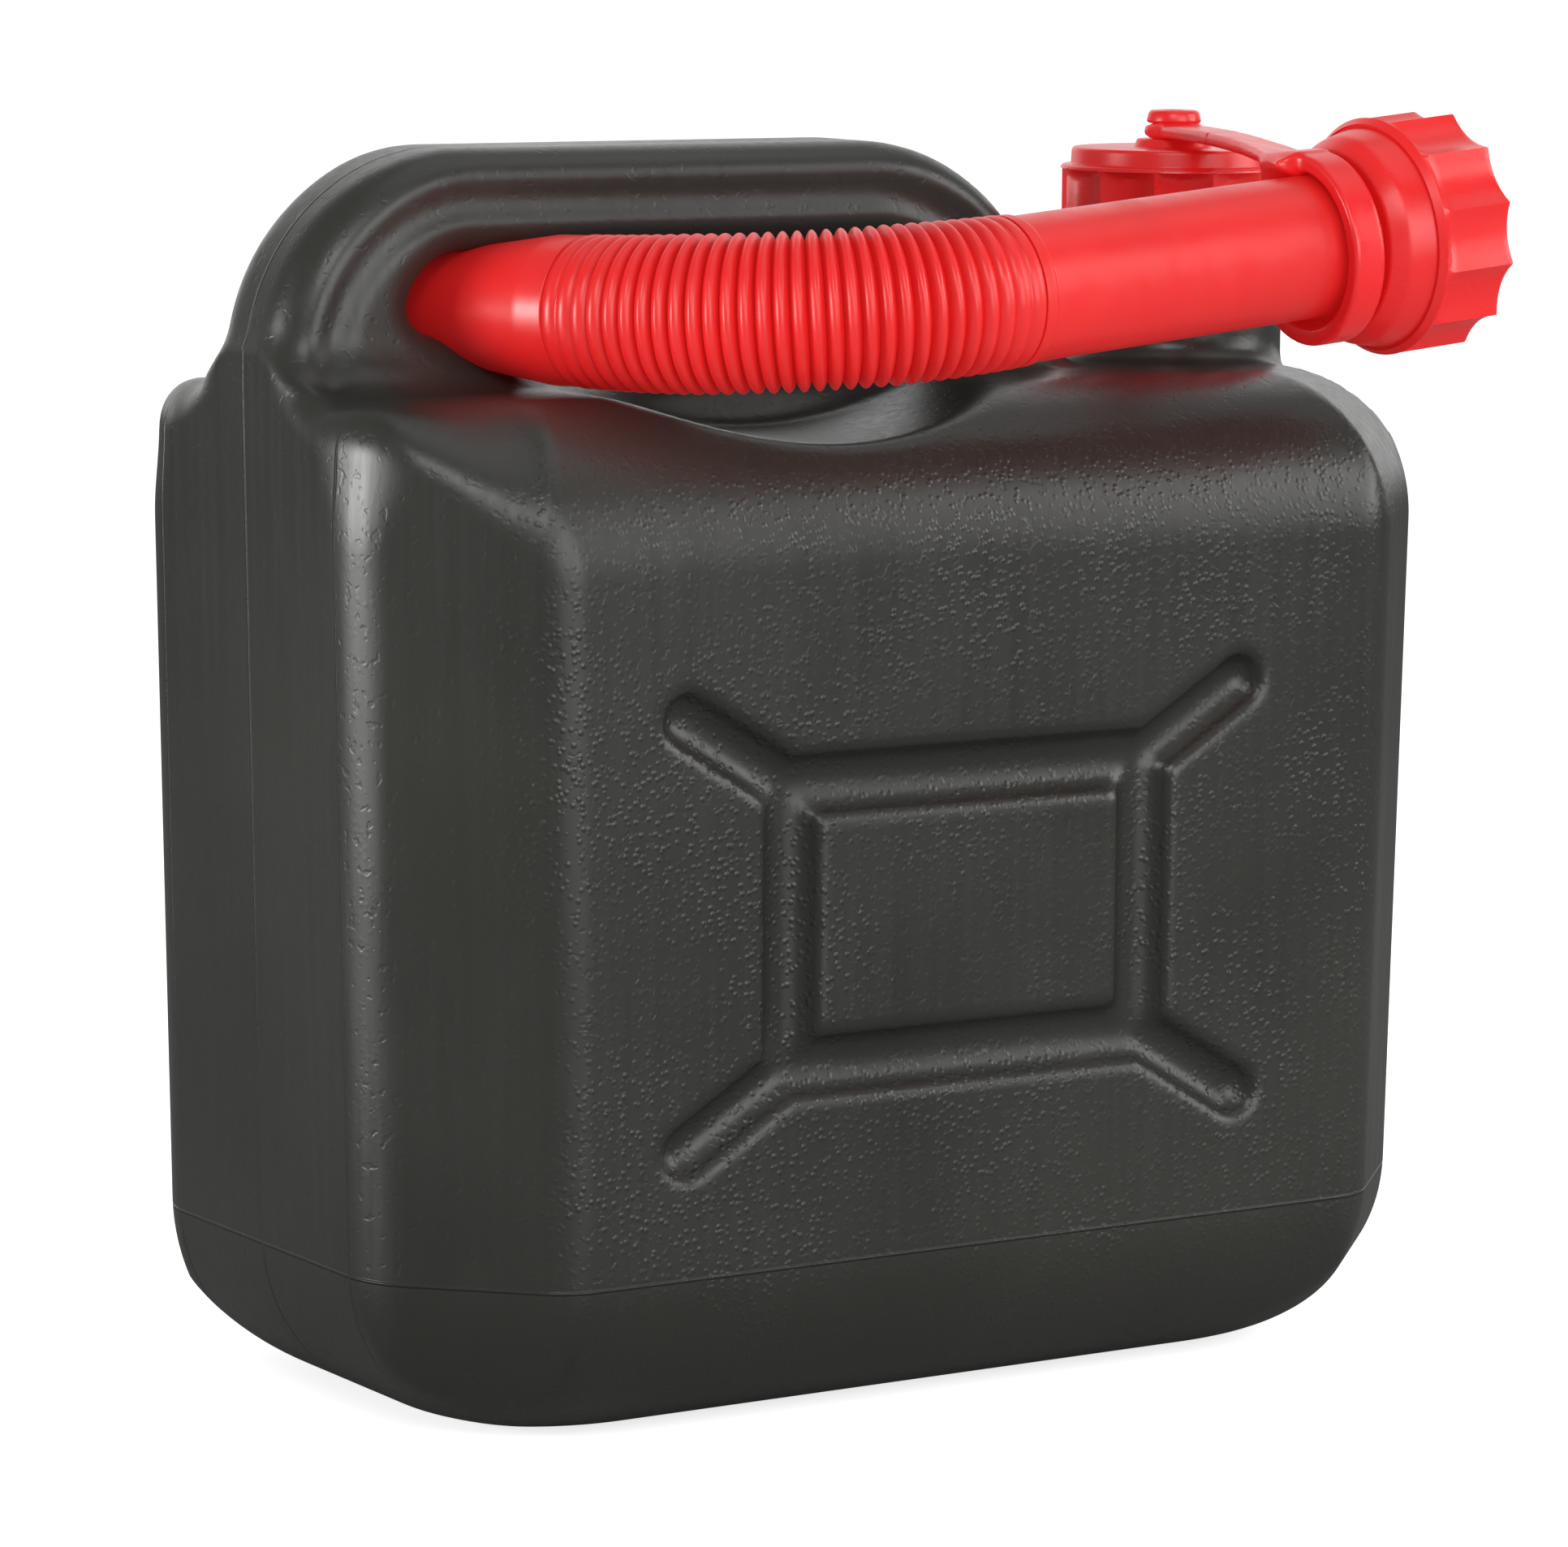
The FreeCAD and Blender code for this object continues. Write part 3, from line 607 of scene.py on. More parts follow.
# ---- materials --------------------------------------------------------------
class Nodes:
    """Short-hand for building a node material."""

    def __init__(self, name):
        self.material = bpy.data.materials.new(name)
        self.material.use_nodes = True
        self.tree = self.material.node_tree
        self.tree.nodes.clear()
        self.output = self.add("ShaderNodeOutputMaterial")
        self.shader = self.add("ShaderNodeBsdfPrincipled")
        self.link(self.shader, "BSDF", self.output, "Surface")
        self.coordinates = self.add("ShaderNodeTexCoord")

    def add(self, kind, **settings):
        node = self.tree.nodes.new(kind)
        for key, value in settings.items():
            setattr(node, key, value)
        return node

    def link(self, source, output, target, socket):
        self.tree.links.new(source.outputs[output], target.inputs[socket])

    def mapped(self, scale):
        """Object coordinates in metres times scale."""
        node = self.add("ShaderNodeMapping")
        node.inputs["Scale"].default_value = scale
        self.link(self.coordinates, "Object", node, "Vector")
        return node

    def noise(self, scale, detail=2.0, roughness=0.5, stretch=(1, 1, 1)):
        node = self.add("ShaderNodeTexNoise")
        node.inputs["Scale"].default_value = scale
        node.inputs["Detail"].default_value = detail
        node.inputs["Roughness"].default_value = roughness
        self.link(self.mapped(stretch), "Vector", node, "Vector")
        return node

    def dots(self, scale):
        """Scattered cells; the distance output is smallest at each cell's middle."""
        node = self.add("ShaderNodeTexVoronoi")
        node.inputs["Scale"].default_value = scale
        self.link(self.mapped((1, 1, 1)), "Vector", node, "Vector")
        return node

    def ramp(self, source, output, low, high, low_value=0.0, high_value=1.0):
        """Maps a value between low and high on to two new values."""
        node = self.add("ShaderNodeMapRange")
        node.inputs["From Min"].default_value = low
        node.inputs["From Max"].default_value = high
        node.inputs["To Min"].default_value = low_value
        node.inputs["To Max"].default_value = high_value
        self.link(source, output, node, "Value")
        return node

    def math(self, operation, a, b=None):
        """Math node; a and b are (node, output) pairs or numbers."""
        node = self.add("ShaderNodeMath", operation=operation)
        for socket, value in zip(node.inputs, (a, b)):
            if value is None:
                continue
            if isinstance(value, tuple):
                self.tree.links.new(value[0].outputs[value[1]], socket)
            else:
                socket.default_value = value
        return node

    def base_color(self, factor, color_a, color_b):
        """Base colour between two colours, by a (node, output) factor."""
        node = self.add("ShaderNodeMix", data_type="RGBA")
        self.link(factor[0], factor[1], node, "Factor")
        node.inputs[6].default_value = (*color_a, 1)
        node.inputs[7].default_value = (*color_b, 1)
        self.tree.links.new(node.outputs[2], self.shader.inputs["Base Color"])

    def bump(self, height, strength, distance, after=None):
        """Bump from a (node, output) height, on top of an earlier bump."""
        node = self.add("ShaderNodeBump")
        node.inputs["Strength"].default_value = strength
        node.inputs["Distance"].default_value = distance
        self.tree.links.new(height[0].outputs[height[1]], node.inputs["Height"])
        if after is not None:
            self.link(after, "Normal", node, "Normal")
        return node


def black_plastic():
    """Blow-moulded polyethylene: near black, satin, pebbled, with flow streaks and mould lines."""
    n = Nodes("black_polyethylene")
    tone = n.noise(9.0, 3.0)
    n.base_color((n.ramp(tone, "Fac", 0.35, 0.65), "Result"), BLACK_DEEP, BLACK_PALE)
    streaks = n.noise(420.0, 2.0, 0.6, (1, 1, 0.035))
    cloud = n.noise(14.0, 2.0)
    rough_streak = n.ramp(streaks, "Fac", 0.3, 0.7, -0.04, 0.04)
    rough_cloud = n.ramp(cloud, "Fac", 0.3, 0.7, 0.29, 0.38)
    rough = n.math("ADD", (rough_streak, "Result"), (rough_cloud, "Result"))
    n.link(rough, "Value", n.shader, "Roughness")
    n.shader.inputs["Specular IOR Level"].default_value = 0.5

    patches = n.ramp(n.noise(26.0, 2.0), "Fac", 0.38, 0.60, 0.30, 1.0)
    streak_patches = n.ramp(n.noise(17.0, 1.0, 0.5, (1, 1, 1.6)), "Fac", 0.42, 0.66, 0.0, 1.0)
    pebbles = n.ramp(n.dots(620.0), "Distance", 0.10, 0.42, 1.0, 0.0)
    pits = n.ramp(n.noise(480.0, 1.0, 0.5), "Fac", 0.62, 0.70, 1.0, 0.0)
    place = n.add("ShaderNodeSeparateXYZ")
    n.link(n.coordinates, "Object", place, "Vector")
    on_faces = n.ramp(n.math("ABSOLUTE", (place, "Y")), "Value", 0.060, 0.071, 0.12, 1.0)
    patches = n.math("MULTIPLY", (patches, "Result"), (on_faces, "Result"))
    pebble_height = n.math("MULTIPLY", (pebbles, "Result"), (patches, "Value"))
    streak_height = n.math("MULTIPLY", (streaks, "Fac"), (streak_patches, "Result"))
    waves = n.noise(38.0, 1.0)
    bump = n.bump((waves, "Fac"), 0.18, 0.0010)
    bump = n.bump((streak_height, "Value"), 0.10, 0.0003, bump)
    bump = n.bump((pebble_height, "Value"), 0.60, 0.00022, bump)
    bump = n.bump((pits, "Result"), 0.25, 0.00015, bump)
    bump = n.bump((mould_lines(n), "Value"), 0.9, 0.0004, bump)
    n.link(bump, "Normal", n.shader, "Normal")
    return n.material


def mould_lines(n):
    """Height of the thin mould lines: the parting line, the end inserts and the base insert."""
    split = n.add("ShaderNodeSeparateXYZ")
    n.link(n.coordinates, "Object", split, "Vector")
    depth = n.math("ABSOLUTE", (split, "Y"))
    across = n.math("ABSOLUTE", (split, "X"))

    def ridge(distance, half_width):
        node = n.add("ShaderNodeMapRange", interpolation_type="SMOOTHSTEP")
        node.inputs["From Min"].default_value = half_width
        node.inputs["From Max"].default_value = 0.0
        n.link(distance, "Value", node, "Value")
        return node

    def ridge_at(source, output, line):
        offset = n.math("SUBTRACT", (source, output), line)
        return ridge(n.math("ABSOLUTE", (offset, "Value")), INSERT_HALF_WIDTH)

    parting = ridge(depth, PARTING_HALF_WIDTH)
    insert = ridge_at(depth, "Value", INSERT_LINE_Y)
    end_only = n.ramp(across, "Value", *INSERT_ONLY_BEYOND_X)
    below_top = n.ramp(split, "Z", *INSERT_ONLY_BELOW_Z)
    insert_on_ends = n.math("MULTIPLY", (insert, "Result"), (end_only, "Result"))
    insert_on_ends = n.math("MULTIPLY", (insert_on_ends, "Value"), (below_top, "Result"))
    base = ridge_at(split, "Z", BASE_LINE_Z)
    height = n.math("MAXIMUM", (parting, "Result"), (insert_on_ends, "Value"))
    return n.math("MAXIMUM", (height, "Value"), (base, "Result"))


def red_plastic(name, base, roughness, seed):
    """Bright red polyethylene with a soft sheen, faint flow marks, fine scuffs and a painted glow in
    its own colour that lifts its shaded sides.
    """
    n = Nodes(name)
    deep = tuple(channel * RED_DEPTH for channel in base)
    tone = n.noise(30.0 + seed, 2.0)
    n.base_color((n.ramp(tone, "Fac", 0.35, 0.65), "Result"), deep, base)
    scuffs = n.noise(170.0, 3.0, 0.6, (1, 0.3, 1))
    rough = n.ramp(scuffs, "Fac", 0.35, 0.7, roughness - 0.05, roughness + 0.07)
    n.link(rough, "Result", n.shader, "Roughness")
    # painted light: the red glows a little in its own colour, as fill light on the sides in shade
    n.shader.inputs["Emission Color"].default_value = (*base, 1)
    n.shader.inputs["Emission Strength"].default_value = RED_PAINTED_FILL_GLOW
    n.shader.inputs["Subsurface Weight"].default_value = 0.08
    n.shader.inputs["Subsurface Radius"].default_value = (1.0, 0.15, 0.1)
    n.shader.inputs["Subsurface Scale"].default_value = 0.002
    grain = n.noise(900.0, 2.0)
    waves = n.noise(90.0, 1.0)
    first = n.bump((waves, "Fac"), 0.12, 0.0006)
    second = n.bump((grain, "Fac"), 0.06, 0.0001, first)
    n.link(second, "Normal", n.shader, "Normal")
    return n.material


def rubber():
    """Dark sealing rubber with a fine matt grain."""
    n = Nodes("sealing_rubber")
    tone = n.noise(300.0, 2.0)
    n.base_color((n.ramp(tone, "Fac", 0.35, 0.65), "Result"), RUBBER_DEEP, RUBBER_PALE)
    n.shader.inputs["Roughness"].default_value = 0.75
    n.link(n.bump((n.noise(1500.0), "Fac"), 0.2, 0.0002), "Normal", n.shader, "Normal")
    return n.material


def floor_material():
    """Plain pale floor: lifted towards white for the camera, dull in the plastic's reflections."""
    n = Nodes("studio_floor")
    path = n.add("ShaderNodeLightPath")
    n.base_color((path, "Is Glossy Ray"), FLOOR_COLOR, FLOOR_IN_REFLECTIONS)
    n.shader.inputs["Roughness"].default_value = 0.8
    n.shader.inputs["Specular IOR Level"].default_value = 0.0
    n.shader.inputs["Emission Color"].default_value = (1, 1, 1, 1)
    lift = n.ramp(path, "Is Camera Ray", 0, 1, 0, FLOOR_LIFT)
    n.link(lift, "Result", n.shader, "Emission Strength")
    return n.material


BLACK = black_plastic()
CAP_RED = red_plastic("red_cap_plastic", RED_CAP, 0.30, 0)
SPOUT_RED = red_plastic("red_spout_plastic", RED_SPOUT, 0.35, 7)
STRAP_RED = red_plastic("red_strap_plastic", RED_STRAP, 0.30, 3)
RUBBER = rubber()


# ---- the can ----------------------------------------------------------------
def build_can():
    """Outer skin of the can, blended from its block, handle, scoop, collar and grooves."""
    step = 1.7
    low = (CAN_LOW[0] - SKIN_MARGIN, -HALF_DEPTH - SKIN_MARGIN, -SKIN_MARGIN)
    high = (CAN_HIGH[0] + SKIN_MARGIN, HALF_DEPTH + SKIN_MARGIN, CAN_HEIGHT + SKIN_MARGIN)
    points, quads = skin_of(can_field, low, high, step)
    points = surface_points(can_field, points, 4)
    points = relaxed(points, quads, can_field)
    return make_object("can_skin", points, quads, BLACK)


def relaxed(points, quads, field):
    """Evens the mesh out along the surface, then puts it back on the field."""
    for _ in range(RELAX_ROUNDS):
        total = np.zeros_like(points)
        count = np.zeros(len(points))
        for k in range(4):
            a = quads[:, k]
            b = quads[:, (k + 1) % 4]
            np.add.at(total, a, points[b])
            np.add.at(total, b, points[a])
            np.add.at(count, a, 1)
            np.add.at(count, b, 1)
        points = points * 0.5 + 0.5 * total / count[:, None]
        points = surface_points(field, points, 2)
    return points


def build_neck():
    """Threaded neck inside the cap."""
    place = frame_along((NECK_X, 0, 0), (0, 0, 1))
    heights = np.linspace(NECK_THREAD_START - 2.0, NECK_TOP - 1.0, 70)
    profile = [(NECK_BORE, NECK_FOOT), (NECK_RADIUS, NECK_FOOT)]
    profile += [(NECK_RADIUS, height) for height in heights]
    profile += [(NECK_RADIUS - 0.3, NECK_TOP - 0.3), (NECK_RADIUS - 1.0, NECK_TOP)]
    profile += [(NECK_BORE, NECK_TOP)]

    def radius_at(angles, height, radius):
        if radius != NECK_RADIUS:
            return np.full(len(angles), float(radius))
        return radius + thread_height(angles, height - NECK_THREAD_START, NECK_THREAD_TURNS)

    return turned("neck_thread", profile, place, BLACK, 144, 60, radius_at)


def thread_height(angles, height, turns):
    """Height of a right-handed thread ridge above its wall, fading out at both ends."""
    ridge = np.zeros(len(angles))
    for turn in range(-1, int(turns) + 1):
        centre = (angles / (2 * math.pi) + turn) * THREAD_PITCH
        inside = (centre >= 0) & (centre <= turns * THREAD_PITCH)
        fade = np.clip(np.minimum(centre, turns * THREAD_PITCH - centre) / THREAD_FADE, 0, 1)
        shape = np.clip((THREAD_HALF_WIDTH - np.abs(height - centre)) / THREAD_FLANK, 0, 1)
        ridge = np.maximum(ridge, np.where(inside, THREAD_HEIGHT * shape * fade, 0))
    return ridge


# ---- cap and nut ------------------------------------------------------------
def scallop(angles):
    """Depth of the concave scallops below the grip radius, by angle."""
    pitch = 2 * math.pi / SCALLOPS
    local = (angles + pitch / 2) % pitch - pitch / 2
    distance = GRIP_RADIUS * math.cos(pitch / 2) - SCALLOP_DEPTH + SCALLOP_RADIUS
    root = np.maximum(SCALLOP_RADIUS ** 2 - (distance * np.sin(local)) ** 2, 0)
    radius = distance * np.cos(local) - np.sqrt(root)
    depth = np.maximum(GRIP_RADIUS - radius, 0)
    eased = depth ** 2 / (2 * SCALLOP_EDGE)
    return np.where(depth < SCALLOP_EDGE, eased, depth - SCALLOP_EDGE / 2)


def scallop_growth(distance, rise):
    """Share of a scallop's depth at a distance from its rounded end."""
    share = min(1.0, max(0.0, distance / rise))
    return math.sqrt(1 - (1 - share) ** 2)


def build_cap():
    """Screw cap with scalloped skirt, rim, top disc, boss and mushroom stud."""
    place = frame_along((NECK_X, 0, 0), (0, 0, 1))
    grip_rows = [(GRIP_RADIUS, h) for h in np.linspace(CAP_BOTTOM + 0.5, CAP_SKIRT_TOP - 1.2, 26)]
    profile = [
        (SOCKET_RADIUS, CAP_CEILING),
        (SOCKET_RADIUS, CAP_BOTTOM),
        (GRIP_RADIUS - 0.5, CAP_BOTTOM),
        (GRIP_RADIUS - 0.12, CAP_BOTTOM + 0.15),
    ] + grip_rows + rounded_profile([
        ((GRIP_RADIUS, CAP_SKIRT_TOP - 1.1), 0),
        ((GRIP_RADIUS, CAP_SKIRT_TOP), 0.9),
        ((DISC_RADIUS + 0.2, CAP_SKIRT_TOP), 0.3),
        ((DISC_RADIUS, CAP_TOP), 0.8),
        ((BOSS_RADIUS + 0.7, CAP_TOP), 0.5),
        ((BOSS_RADIUS, BOSS_TOP), 0.5),
        ((STUD_RADIUS, BOSS_TOP), 0.3),
        ((STUD_RADIUS - 0.15, STUD_HEAD_BOTTOM), 0.2),
        ((STUD_HEAD_RADIUS, STUD_HEAD_BOTTOM + 0.1), 0.6),
        ((STUD_HEAD_RADIUS - 0.6, STUD_HEAD_TOP), 1.2),
        ((DIMPLE_RADIUS, STUD_HEAD_TOP - 0.2), 0.4),
        ((DIMPLE_RADIUS - 0.8, DIMPLE_FLOOR), 0.4),
        ((AXIS_RADIUS, DIMPLE_FLOOR), 0),
        ((AXIS_RADIUS, CAP_CEILING), 0),
    ], 4)[1:]

    def radius_at(angles, height, radius):
        below_top = CAP_SKIRT_TOP - CAP_SCALLOP_GAP - height
        if radius < GRIP_BAND or below_top < 0:
            return np.full(len(angles), float(radius))
        return radius - scallop(angles) * scallop_growth(below_top, CAP_SCALLOP_RISE)

    return turned("cap_shell", profile, place, CAP_RED, 240, 40, radius_at)


def build_nut():
    """Union nut with conical hub, scalloped grip and threaded socket."""
    place = frame_along(TUBE_START, TUBE_DIRECTION)
    grip_rows = [(GRIP_RADIUS, h) for h in np.linspace(NUT_BACK + 0.9, NUT_MOUTH - 0.5, 18)]
    socket_start = FLANGE_START - 0.3
    thread_turns = (NUT_MOUTH - NUT_THREAD_START - NUT_THREAD_INSET) / THREAD_PITCH
    hub = [(TUBE_RADIUS + 0.5, socket_start), (TUBE_RADIUS + 0.5, HUB_START)]
    hub += rounded_profile([
        ((TUBE_RADIUS + 0.6, HUB_START), 0),
        ((HUB_FRONT_RADIUS, HUB_START), 1.2),
        ((HUB_RADIUS, HUB_START + 3.4), 4.0),
        ((HUB_BACK_RADIUS, NUT_BACK - 0.4), 0.3),
        ((HUB_BACK_RADIUS + 0.1, NUT_BACK), 0.15),
        ((GRIP_RADIUS - 0.7, NUT_BACK), 0.3),
    ], 4)[1:]
    mouth = [
        (GRIP_RADIUS - 0.15, NUT_MOUTH - 0.15),
        (GRIP_RADIUS - 0.6, NUT_MOUTH),
        (SOCKET_RADIUS + 0.5, NUT_MOUTH),
    ]
    inner = [(SOCKET_RADIUS, h) for h in np.linspace(NUT_MOUTH - 0.5, socket_start, 50)]
    profile = hub + grip_rows + mouth + inner

    def radius_at(angles, height, radius):
        if radius > GRIP_BAND and height > NUT_BACK + 0.5:
            growth = scallop_growth(height - NUT_BACK - NUT_SCALLOP_GAP, NUT_SCALLOP_RISE)
            return radius - scallop(angles) * growth
        if radius == SOCKET_RADIUS:
            return radius - thread_height(angles, height - NUT_THREAD_START, thread_turns)
        return np.full(len(angles), float(radius))

    return turned("union_nut_shell", profile, place, CAP_RED, 240, 40, radius_at)


# ---- spout ------------------------------------------------------------------
def bend_frame(share):
    """Point, direction and inward axis on the bellows' centre line, from tube (0) to nozzle (1)."""
    leave = -TUBE_DIRECTION
    inward = NOZZLE_DIRECTION - leave * (NOZZLE_DIRECTION @ leave)
    inward /= np.linalg.norm(inward)
    angle = math.acos(leave @ NOZZLE_DIRECTION) * share
    centre = TUBE_START + inward * BEND_RADIUS
    point = centre - inward * BEND_RADIUS * math.cos(angle) + leave * BEND_RADIUS * math.sin(angle)
    direction = inward * math.sin(angle) + leave * math.cos(angle)
    return point, direction, inward * math.cos(angle) - leave * math.sin(angle)


def bellows_radius(share):
    """Outer radius along the bellows: round crests and tight valleys, shallower towards both ends."""
    swell = min(1.0, min(share, 1 - share) * RIDGES / SWELL_RIDGES)
    growth = swell * swell * (3 - 2 * swell)
    depth = END_VALLEY_DEPTH + (VALLEY_DEPTH - END_VALLEY_DEPTH) * growth
    crest = END_CREST_RADIUS + (CREST_RADIUS - END_CREST_RADIUS) * swell
    phase = (share * RIDGES) % 1.0
    return crest - depth * (1 - abs(math.sin(math.pi * phase)) ** CREST_POWER)


def build_bellows():
    """Corrugated stretch of the spout, as a closed hollow pipe."""
    shares = np.linspace(0, 1, RIDGES * ROWS_PER_RIDGE + 1)
    around = 96
    angles = np.linspace(0, 2 * math.pi, around, endpoint=False)
    rows = [(share, bellows_radius(share)) for share in shares]
    rows += [(share, BELLOWS_BORE) for share in shares[::-1]]
    rings = []
    for share, radius in rows:
        point, direction, inward = bend_frame(share)
        across = np.cross(direction, inward)
        ring = np.outer(np.cos(angles), inward) + np.outer(np.sin(angles), across)
        rings.append(point + radius * ring)
    faces = [face[::-1] for face in grid_faces(len(rings), around, True, True)]
    obj = make_object("bellows_skin", np.concatenate(rings), faces, SPOUT_RED)
    sharpen(obj, 80)
    return obj


def build_nozzle():
    """Flared shoulder and pouring pipe at the far end of the bellows."""
    point, direction, _ = bend_frame(1.0)
    profile = rounded_profile([
        ((NOZZLE_SHOULDER_RADIUS - 0.5, JOIN_GAP), 0),
        ((NOZZLE_SHOULDER_RADIUS, 0.3), 0.2),
        ((NOZZLE_SHOULDER_RADIUS, NOZZLE_SHOULDER_LENGTH), NOZZLE_CURVE),
        ((NOZZLE_RADIUS, NOZZLE_CONE), NOZZLE_CURVE),
        ((NOZZLE_TIP_RADIUS, NOZZLE_LENGTH), 0.7),
        ((NOZZLE_TIP_RADIUS - NOZZLE_WALL, NOZZLE_LENGTH), 0.5),
        ((NOZZLE_RADIUS - NOZZLE_WALL, NOZZLE_CONE), NOZZLE_CURVE),
        ((NOZZLE_SHOULDER_RADIUS - NOZZLE_WALL, NOZZLE_SHOULDER_LENGTH), 10.0),
        ((NOZZLE_SHOULDER_RADIUS - 2.1, JOIN_GAP), 0),
    ], 8)
    place = frame_along(point, direction + NOZZLE_DROOP)
    return turned("nozzle_skin", profile, place, SPOUT_RED, 128, 50)


def build_tube():
    """Smooth end of the spout, with the step at the bellows and the flange inside the nut."""
    bore = TUBE_RADIUS - TUBE_WALL
    end = FLANGE_START + FLANGE_LENGTH
    profile = rounded_profile([
        ((bore, JOIN_GAP), 0.3),
        ((TUBE_COLLAR_RADIUS, JOIN_GAP), 0.2),
        ((TUBE_COLLAR_RADIUS, TUBE_COLLAR_LENGTH), 0.5),
        ((TUBE_RADIUS, TUBE_COLLAR_LENGTH + 0.8), 0.5),
        ((TUBE_RADIUS - 0.1, FLANGE_START), 0.4),
        ((FLANGE_RADIUS, FLANGE_START), 0.4),
        ((FLANGE_RADIUS, end), 0.4),
        ((bore, end), 0.4),
    ], 5)
    return turned("tube_skin", profile, frame_along(TUBE_START, TUBE_DIRECTION), SPOUT_RED, 128, 50)


# ---- strap ------------------------------------------------------------------
def strap_field(x, y, z):
    """Ring round the tube, tongue and eyelet, blended into one soft moulding."""
    direction = TUBE_DIRECTION / np.linalg.norm(TUBE_DIRECTION)
    centre = TUBE_START + direction * (RING_START + RING_LENGTH / 2) - RING_SAG
    axis = direction + RING_LEAN
    axis /= np.linalg.norm(axis)
    px, py, pz = x - centre[0], y - centre[1], z - centre[2]
    along = px * axis[0] + py * axis[1] + pz * axis[2]
    radial = np.sqrt(np.maximum(px * px + py * py + pz * pz - along * along, 0))
    wall = np.abs(radial - RING_RADIUS) - RING_HALF_WALL
    ring = common_round(wall, np.abs(along) - RING_LENGTH / 2, RING_EDGE_ROUND)
    eye = np.hypot(x - NECK_X, y)
    flat = np.abs(z - EYE_Z) - EYELET_HALF_THICKNESS
    eyelet = common_round(eye - EYELET_RADIUS, flat, STRAP_EDGE_ROUND)
    root = centre + RING_UP * TONGUE_ROOT_RADIUS + TONGUE_ROOT_SHIFT
    share = np.clip((y - root[1]) / -root[1], 0, 1)
    middle_x = root[0] + (NECK_X - root[0]) * share
    middle_z = root[2] + (EYE_Z - root[2]) * share + TONGUE_ARCH * np.sin(math.pi * share)
    half_width = TONGUE_HALF_WIDTH + TONGUE_EYE_WIDENING * share
    half_width = half_width + TONGUE_ROOT_WIDENING * np.maximum(0, 1 - share * 3)
    half_thickness = TONGUE_HALF_THICKNESS - TONGUE_ROOT_THINNING * np.maximum(0, 1 - share * 4)
    beside = np.abs(x - middle_x) - half_width
    above = np.abs(z - middle_z) - half_thickness
    tongue = common_round(beside, above, STRAP_EDGE_ROUND)
    tongue = np.maximum(tongue, np.maximum(y, root[1] - y))
    body = union_round(tongue, ring, TONGUE_FILLET)
    body = union_round(body, eyelet, EYELET_FILLET)
    return cut_round(body, eye - EYE_RADIUS, EYE_EDGE_ROUND)


def build_strap():
    """Both halves of the strap; they meet half way along the tongue."""
    low_ring, high_ring = (np.array(corner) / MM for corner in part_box("retaining_strap"))
    step = 0.6

    def ring_half(x, y, z):
        return np.maximum(strap_field(x, y, z), y - STRAP_SPLIT_Y)

    def eyelet_half(x, y, z):
        return np.maximum(strap_field(x, y, z), STRAP_SPLIT_Y - y)

    halves = []
    for name, field, low_y, high_y in (
        ("strap_ring_half", ring_half, low_ring[1], STRAP_SPLIT_Y),
        ("strap_eyelet_half", eyelet_half, STRAP_SPLIT_Y, high_ring[1]),
    ):
        low = np.array([low_ring[0], low_y, low_ring[2]]) - STRAP_MARGIN
        high = np.array([high_ring[0], high_y, high_ring[2]]) + STRAP_MARGIN
        points, quads = skin_of(field, low, high, step)
        points = surface_points(field, points, 3)
        halves.append(make_object(name, points, quads, STRAP_RED))
    return halves


# ---- stage ------------------------------------------------------------------
def build_stage():
    """Pale floor, soft lights and the camera at the photograph's viewing angle."""
    size = FLOOR_HALF_SIZE / MM
    corners = [(-size, -size, 0), (size, -size, 0), (size, size, 0), (-size, size, 0)]
    floor = make_object("studio_floor", corners, [(0, 1, 2, 3)], floor_material(), False)
    build_world()
    for light in LIGHTS:
        softbox(*light)
    build_camera()


def build_camera():
    """Camera at its place, turned by yaw, pitch and roll."""
    camera_data = bpy.data.cameras.new("camera")
    camera = bpy.data.objects.new("camera", camera_data)
    bpy.context.scene.collection.objects.link(camera)
    yaw, pitch, roll = (math.radians(angle) for angle in CAMERA_ANGLES)
    ahead = math.cos(pitch)
    forward = Vector((math.sin(yaw) * ahead, math.cos(yaw) * ahead, -math.sin(pitch)))
    level = Vector((math.cos(yaw), -math.sin(yaw), 0))
    upright = level.cross(forward)
    right = level * math.cos(roll) + upright * math.sin(roll)
    up = upright * math.cos(roll) - level * math.sin(roll)
    turn = Matrix((right, up, -forward)).transposed().to_4x4()
    camera.matrix_world = Matrix.Translation(CAMERA_PLACE) @ turn
    camera_data.sensor_width = 36.0
    camera_data.lens = CAMERA_LENS
    camera_data.clip_start = 0.01
    bpy.context.scene.camera = camera


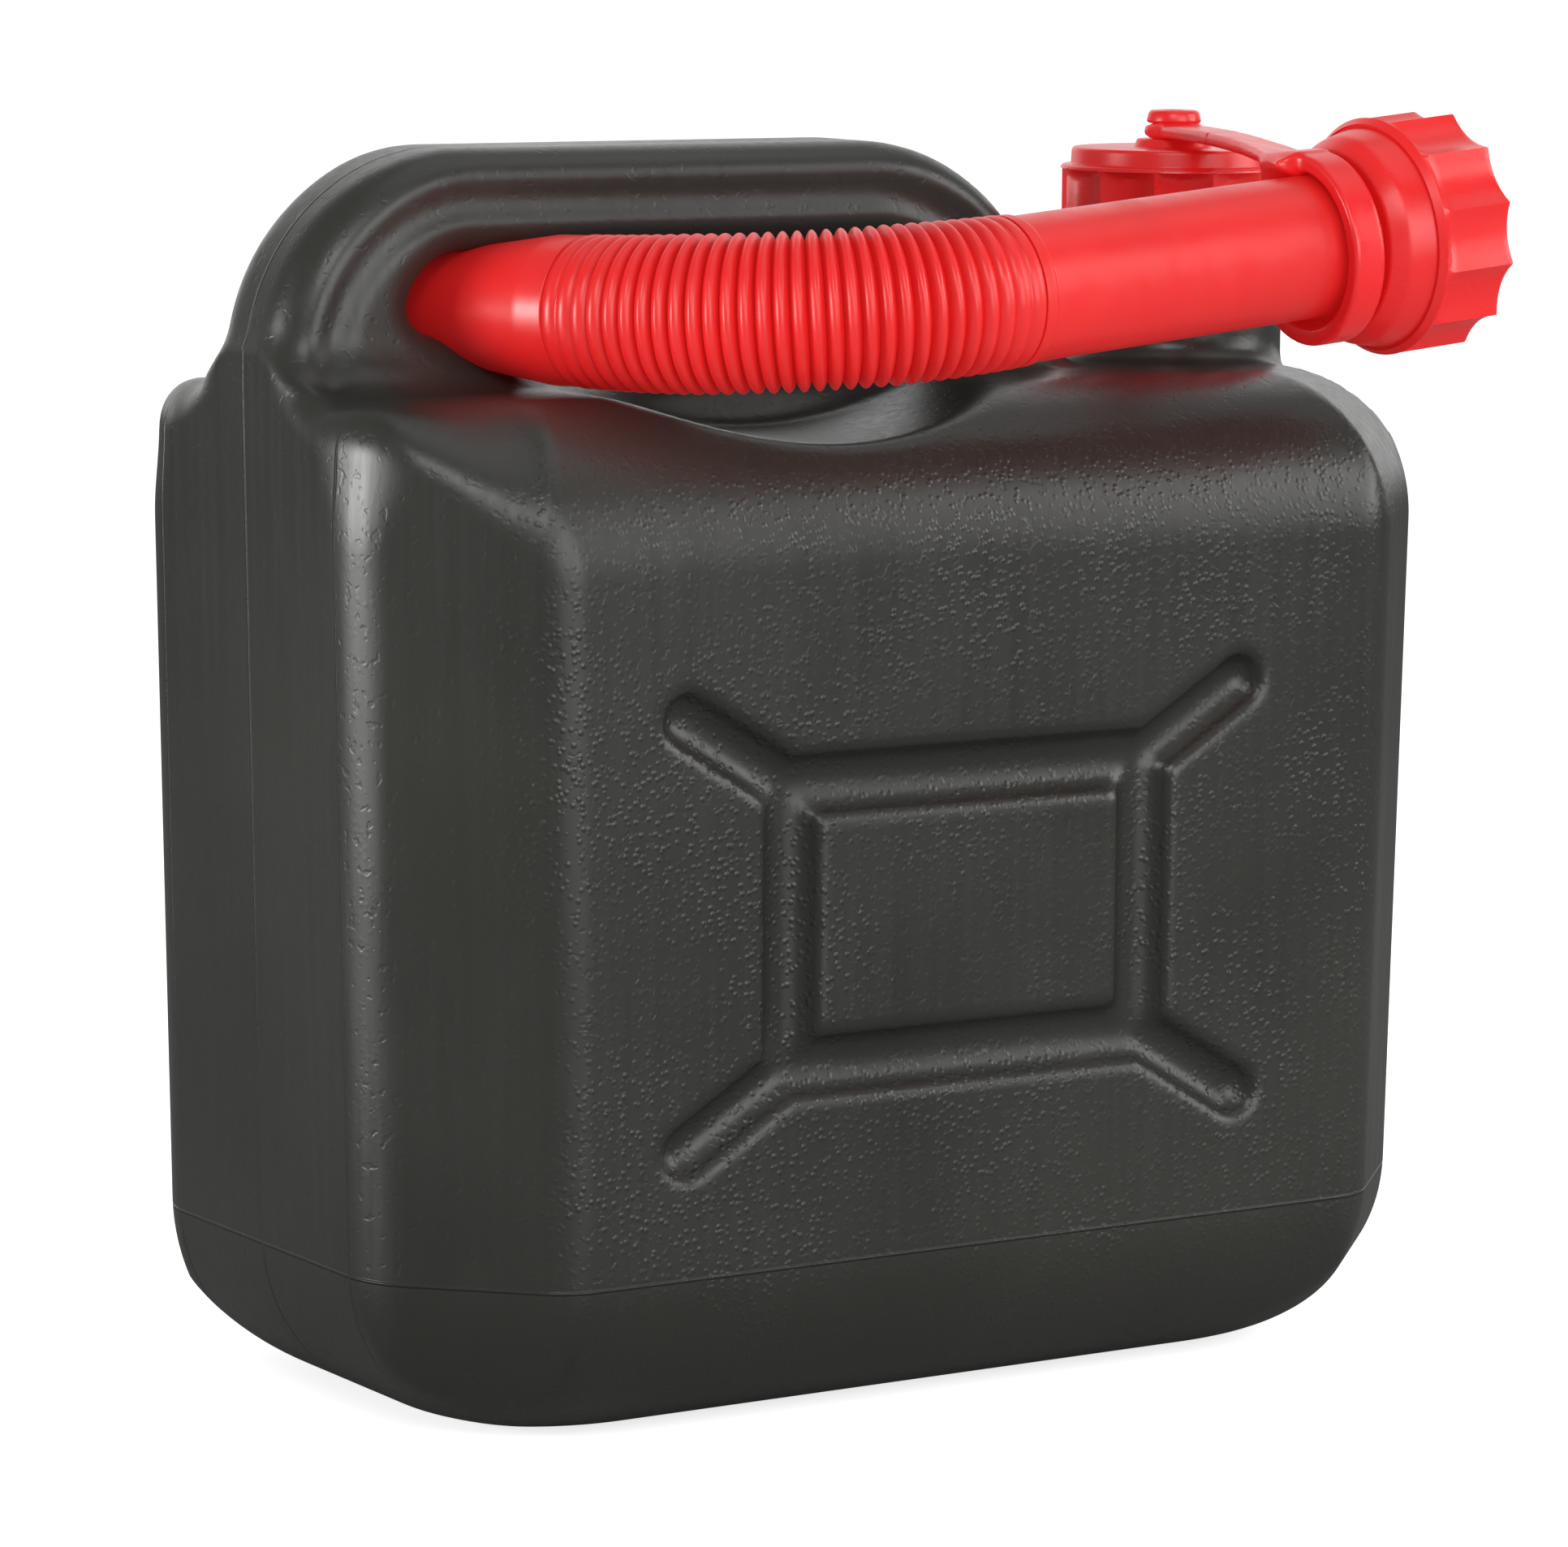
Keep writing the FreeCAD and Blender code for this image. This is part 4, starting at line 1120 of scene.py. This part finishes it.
def build_world():
    """White backdrop for the camera; the surroundings are dim in front and bright behind the can."""
    world = bpy.data.worlds.new("studio")
    bpy.context.scene.world = world
    world.use_nodes = True
    tree = world.node_tree
    background = tree.nodes["Background"]
    background.inputs["Color"].default_value = (1, 1, 1, 1)
    coordinates = tree.nodes.new("ShaderNodeTexCoord")
    facing = tree.nodes.new("ShaderNodeVectorMath")
    facing.operation = "DOT_PRODUCT"
    facing.inputs[1].default_value = BRIGHT_SIDE
    tree.links.new(coordinates.outputs["Generated"], facing.inputs[0])
    surroundings = tree.nodes.new("ShaderNodeMapRange")
    surroundings.interpolation_type = "SMOOTHSTEP"
    surroundings.inputs["From Min"].default_value = BRIGHT_EDGE[0]
    surroundings.inputs["From Max"].default_value = BRIGHT_EDGE[1]
    surroundings.inputs["To Min"].default_value = DIM_STRENGTH
    surroundings.inputs["To Max"].default_value = BRIGHT_STRENGTH
    tree.links.new(facing.outputs["Value"], surroundings.inputs["Value"])
    path = tree.nodes.new("ShaderNodeLightPath")
    strength = tree.nodes.new("ShaderNodeMapRange")
    strength.inputs["To Max"].default_value = 1.0
    tree.links.new(path.outputs["Is Camera Ray"], strength.inputs["Value"])
    tree.links.new(surroundings.outputs["Result"], strength.inputs["To Min"])
    tree.links.new(strength.outputs["Result"], background.inputs["Strength"])
    bpy.context.scene.view_settings.view_transform = "Standard"


def softbox(name, place, size, power):
    """Square area light aimed at the can."""
    data = bpy.data.lights.new(name, "AREA")
    data.energy = power
    data.size = size
    light = bpy.data.objects.new(name, data)
    light.location = place
    aim = Vector(LIGHT_TARGET) - Vector(place)
    light.rotation_euler = aim.to_track_quat("-Z", "Y").to_euler()
    bpy.context.scene.collection.objects.link(light)


# ---- assembly ---------------------------------------------------------------
def assemble():
    """Builds every piece and replaces the CAD node it stands for; the can pieces, cap, nut, tube and
    nozzle ride on their bodies, the bellows and strap halves stay loose, and the gaskets keep their
    CAD meshes with the rubber material.
    """
    skin = build_can()
    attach(skin, "can")
    neck = build_neck()
    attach(neck, "can")
    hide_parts("can_body")

    cap = build_cap()
    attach(cap, "cap")
    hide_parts("main_cap")

    nut = build_nut()
    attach(nut, "union_nut")
    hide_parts("spout_union_nut")

    tube = build_tube()
    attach(tube, "spout")
    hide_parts("spout_tube")

    nozzle = build_nozzle()
    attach(nozzle, "can")
    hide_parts("spout_nozzle")

    bellows = build_bellows()
    near, far = (Vector((bend_frame(share)[0] * MM).tolist()) for share in BELLOWS_BLEND)
    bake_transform(bellows)
    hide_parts("spout_bellows")

    ring_half, eyelet_half = build_strap()
    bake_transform(ring_half)
    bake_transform(eyelet_half)
    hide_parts("retaining_strap")

    for name in ("main_cap_gasket", "spout_gasket"):
        node = frame["nodes"][name]
        for slot in node.material_slots:
            slot.material = RUBBER


assemble()
build_stage()
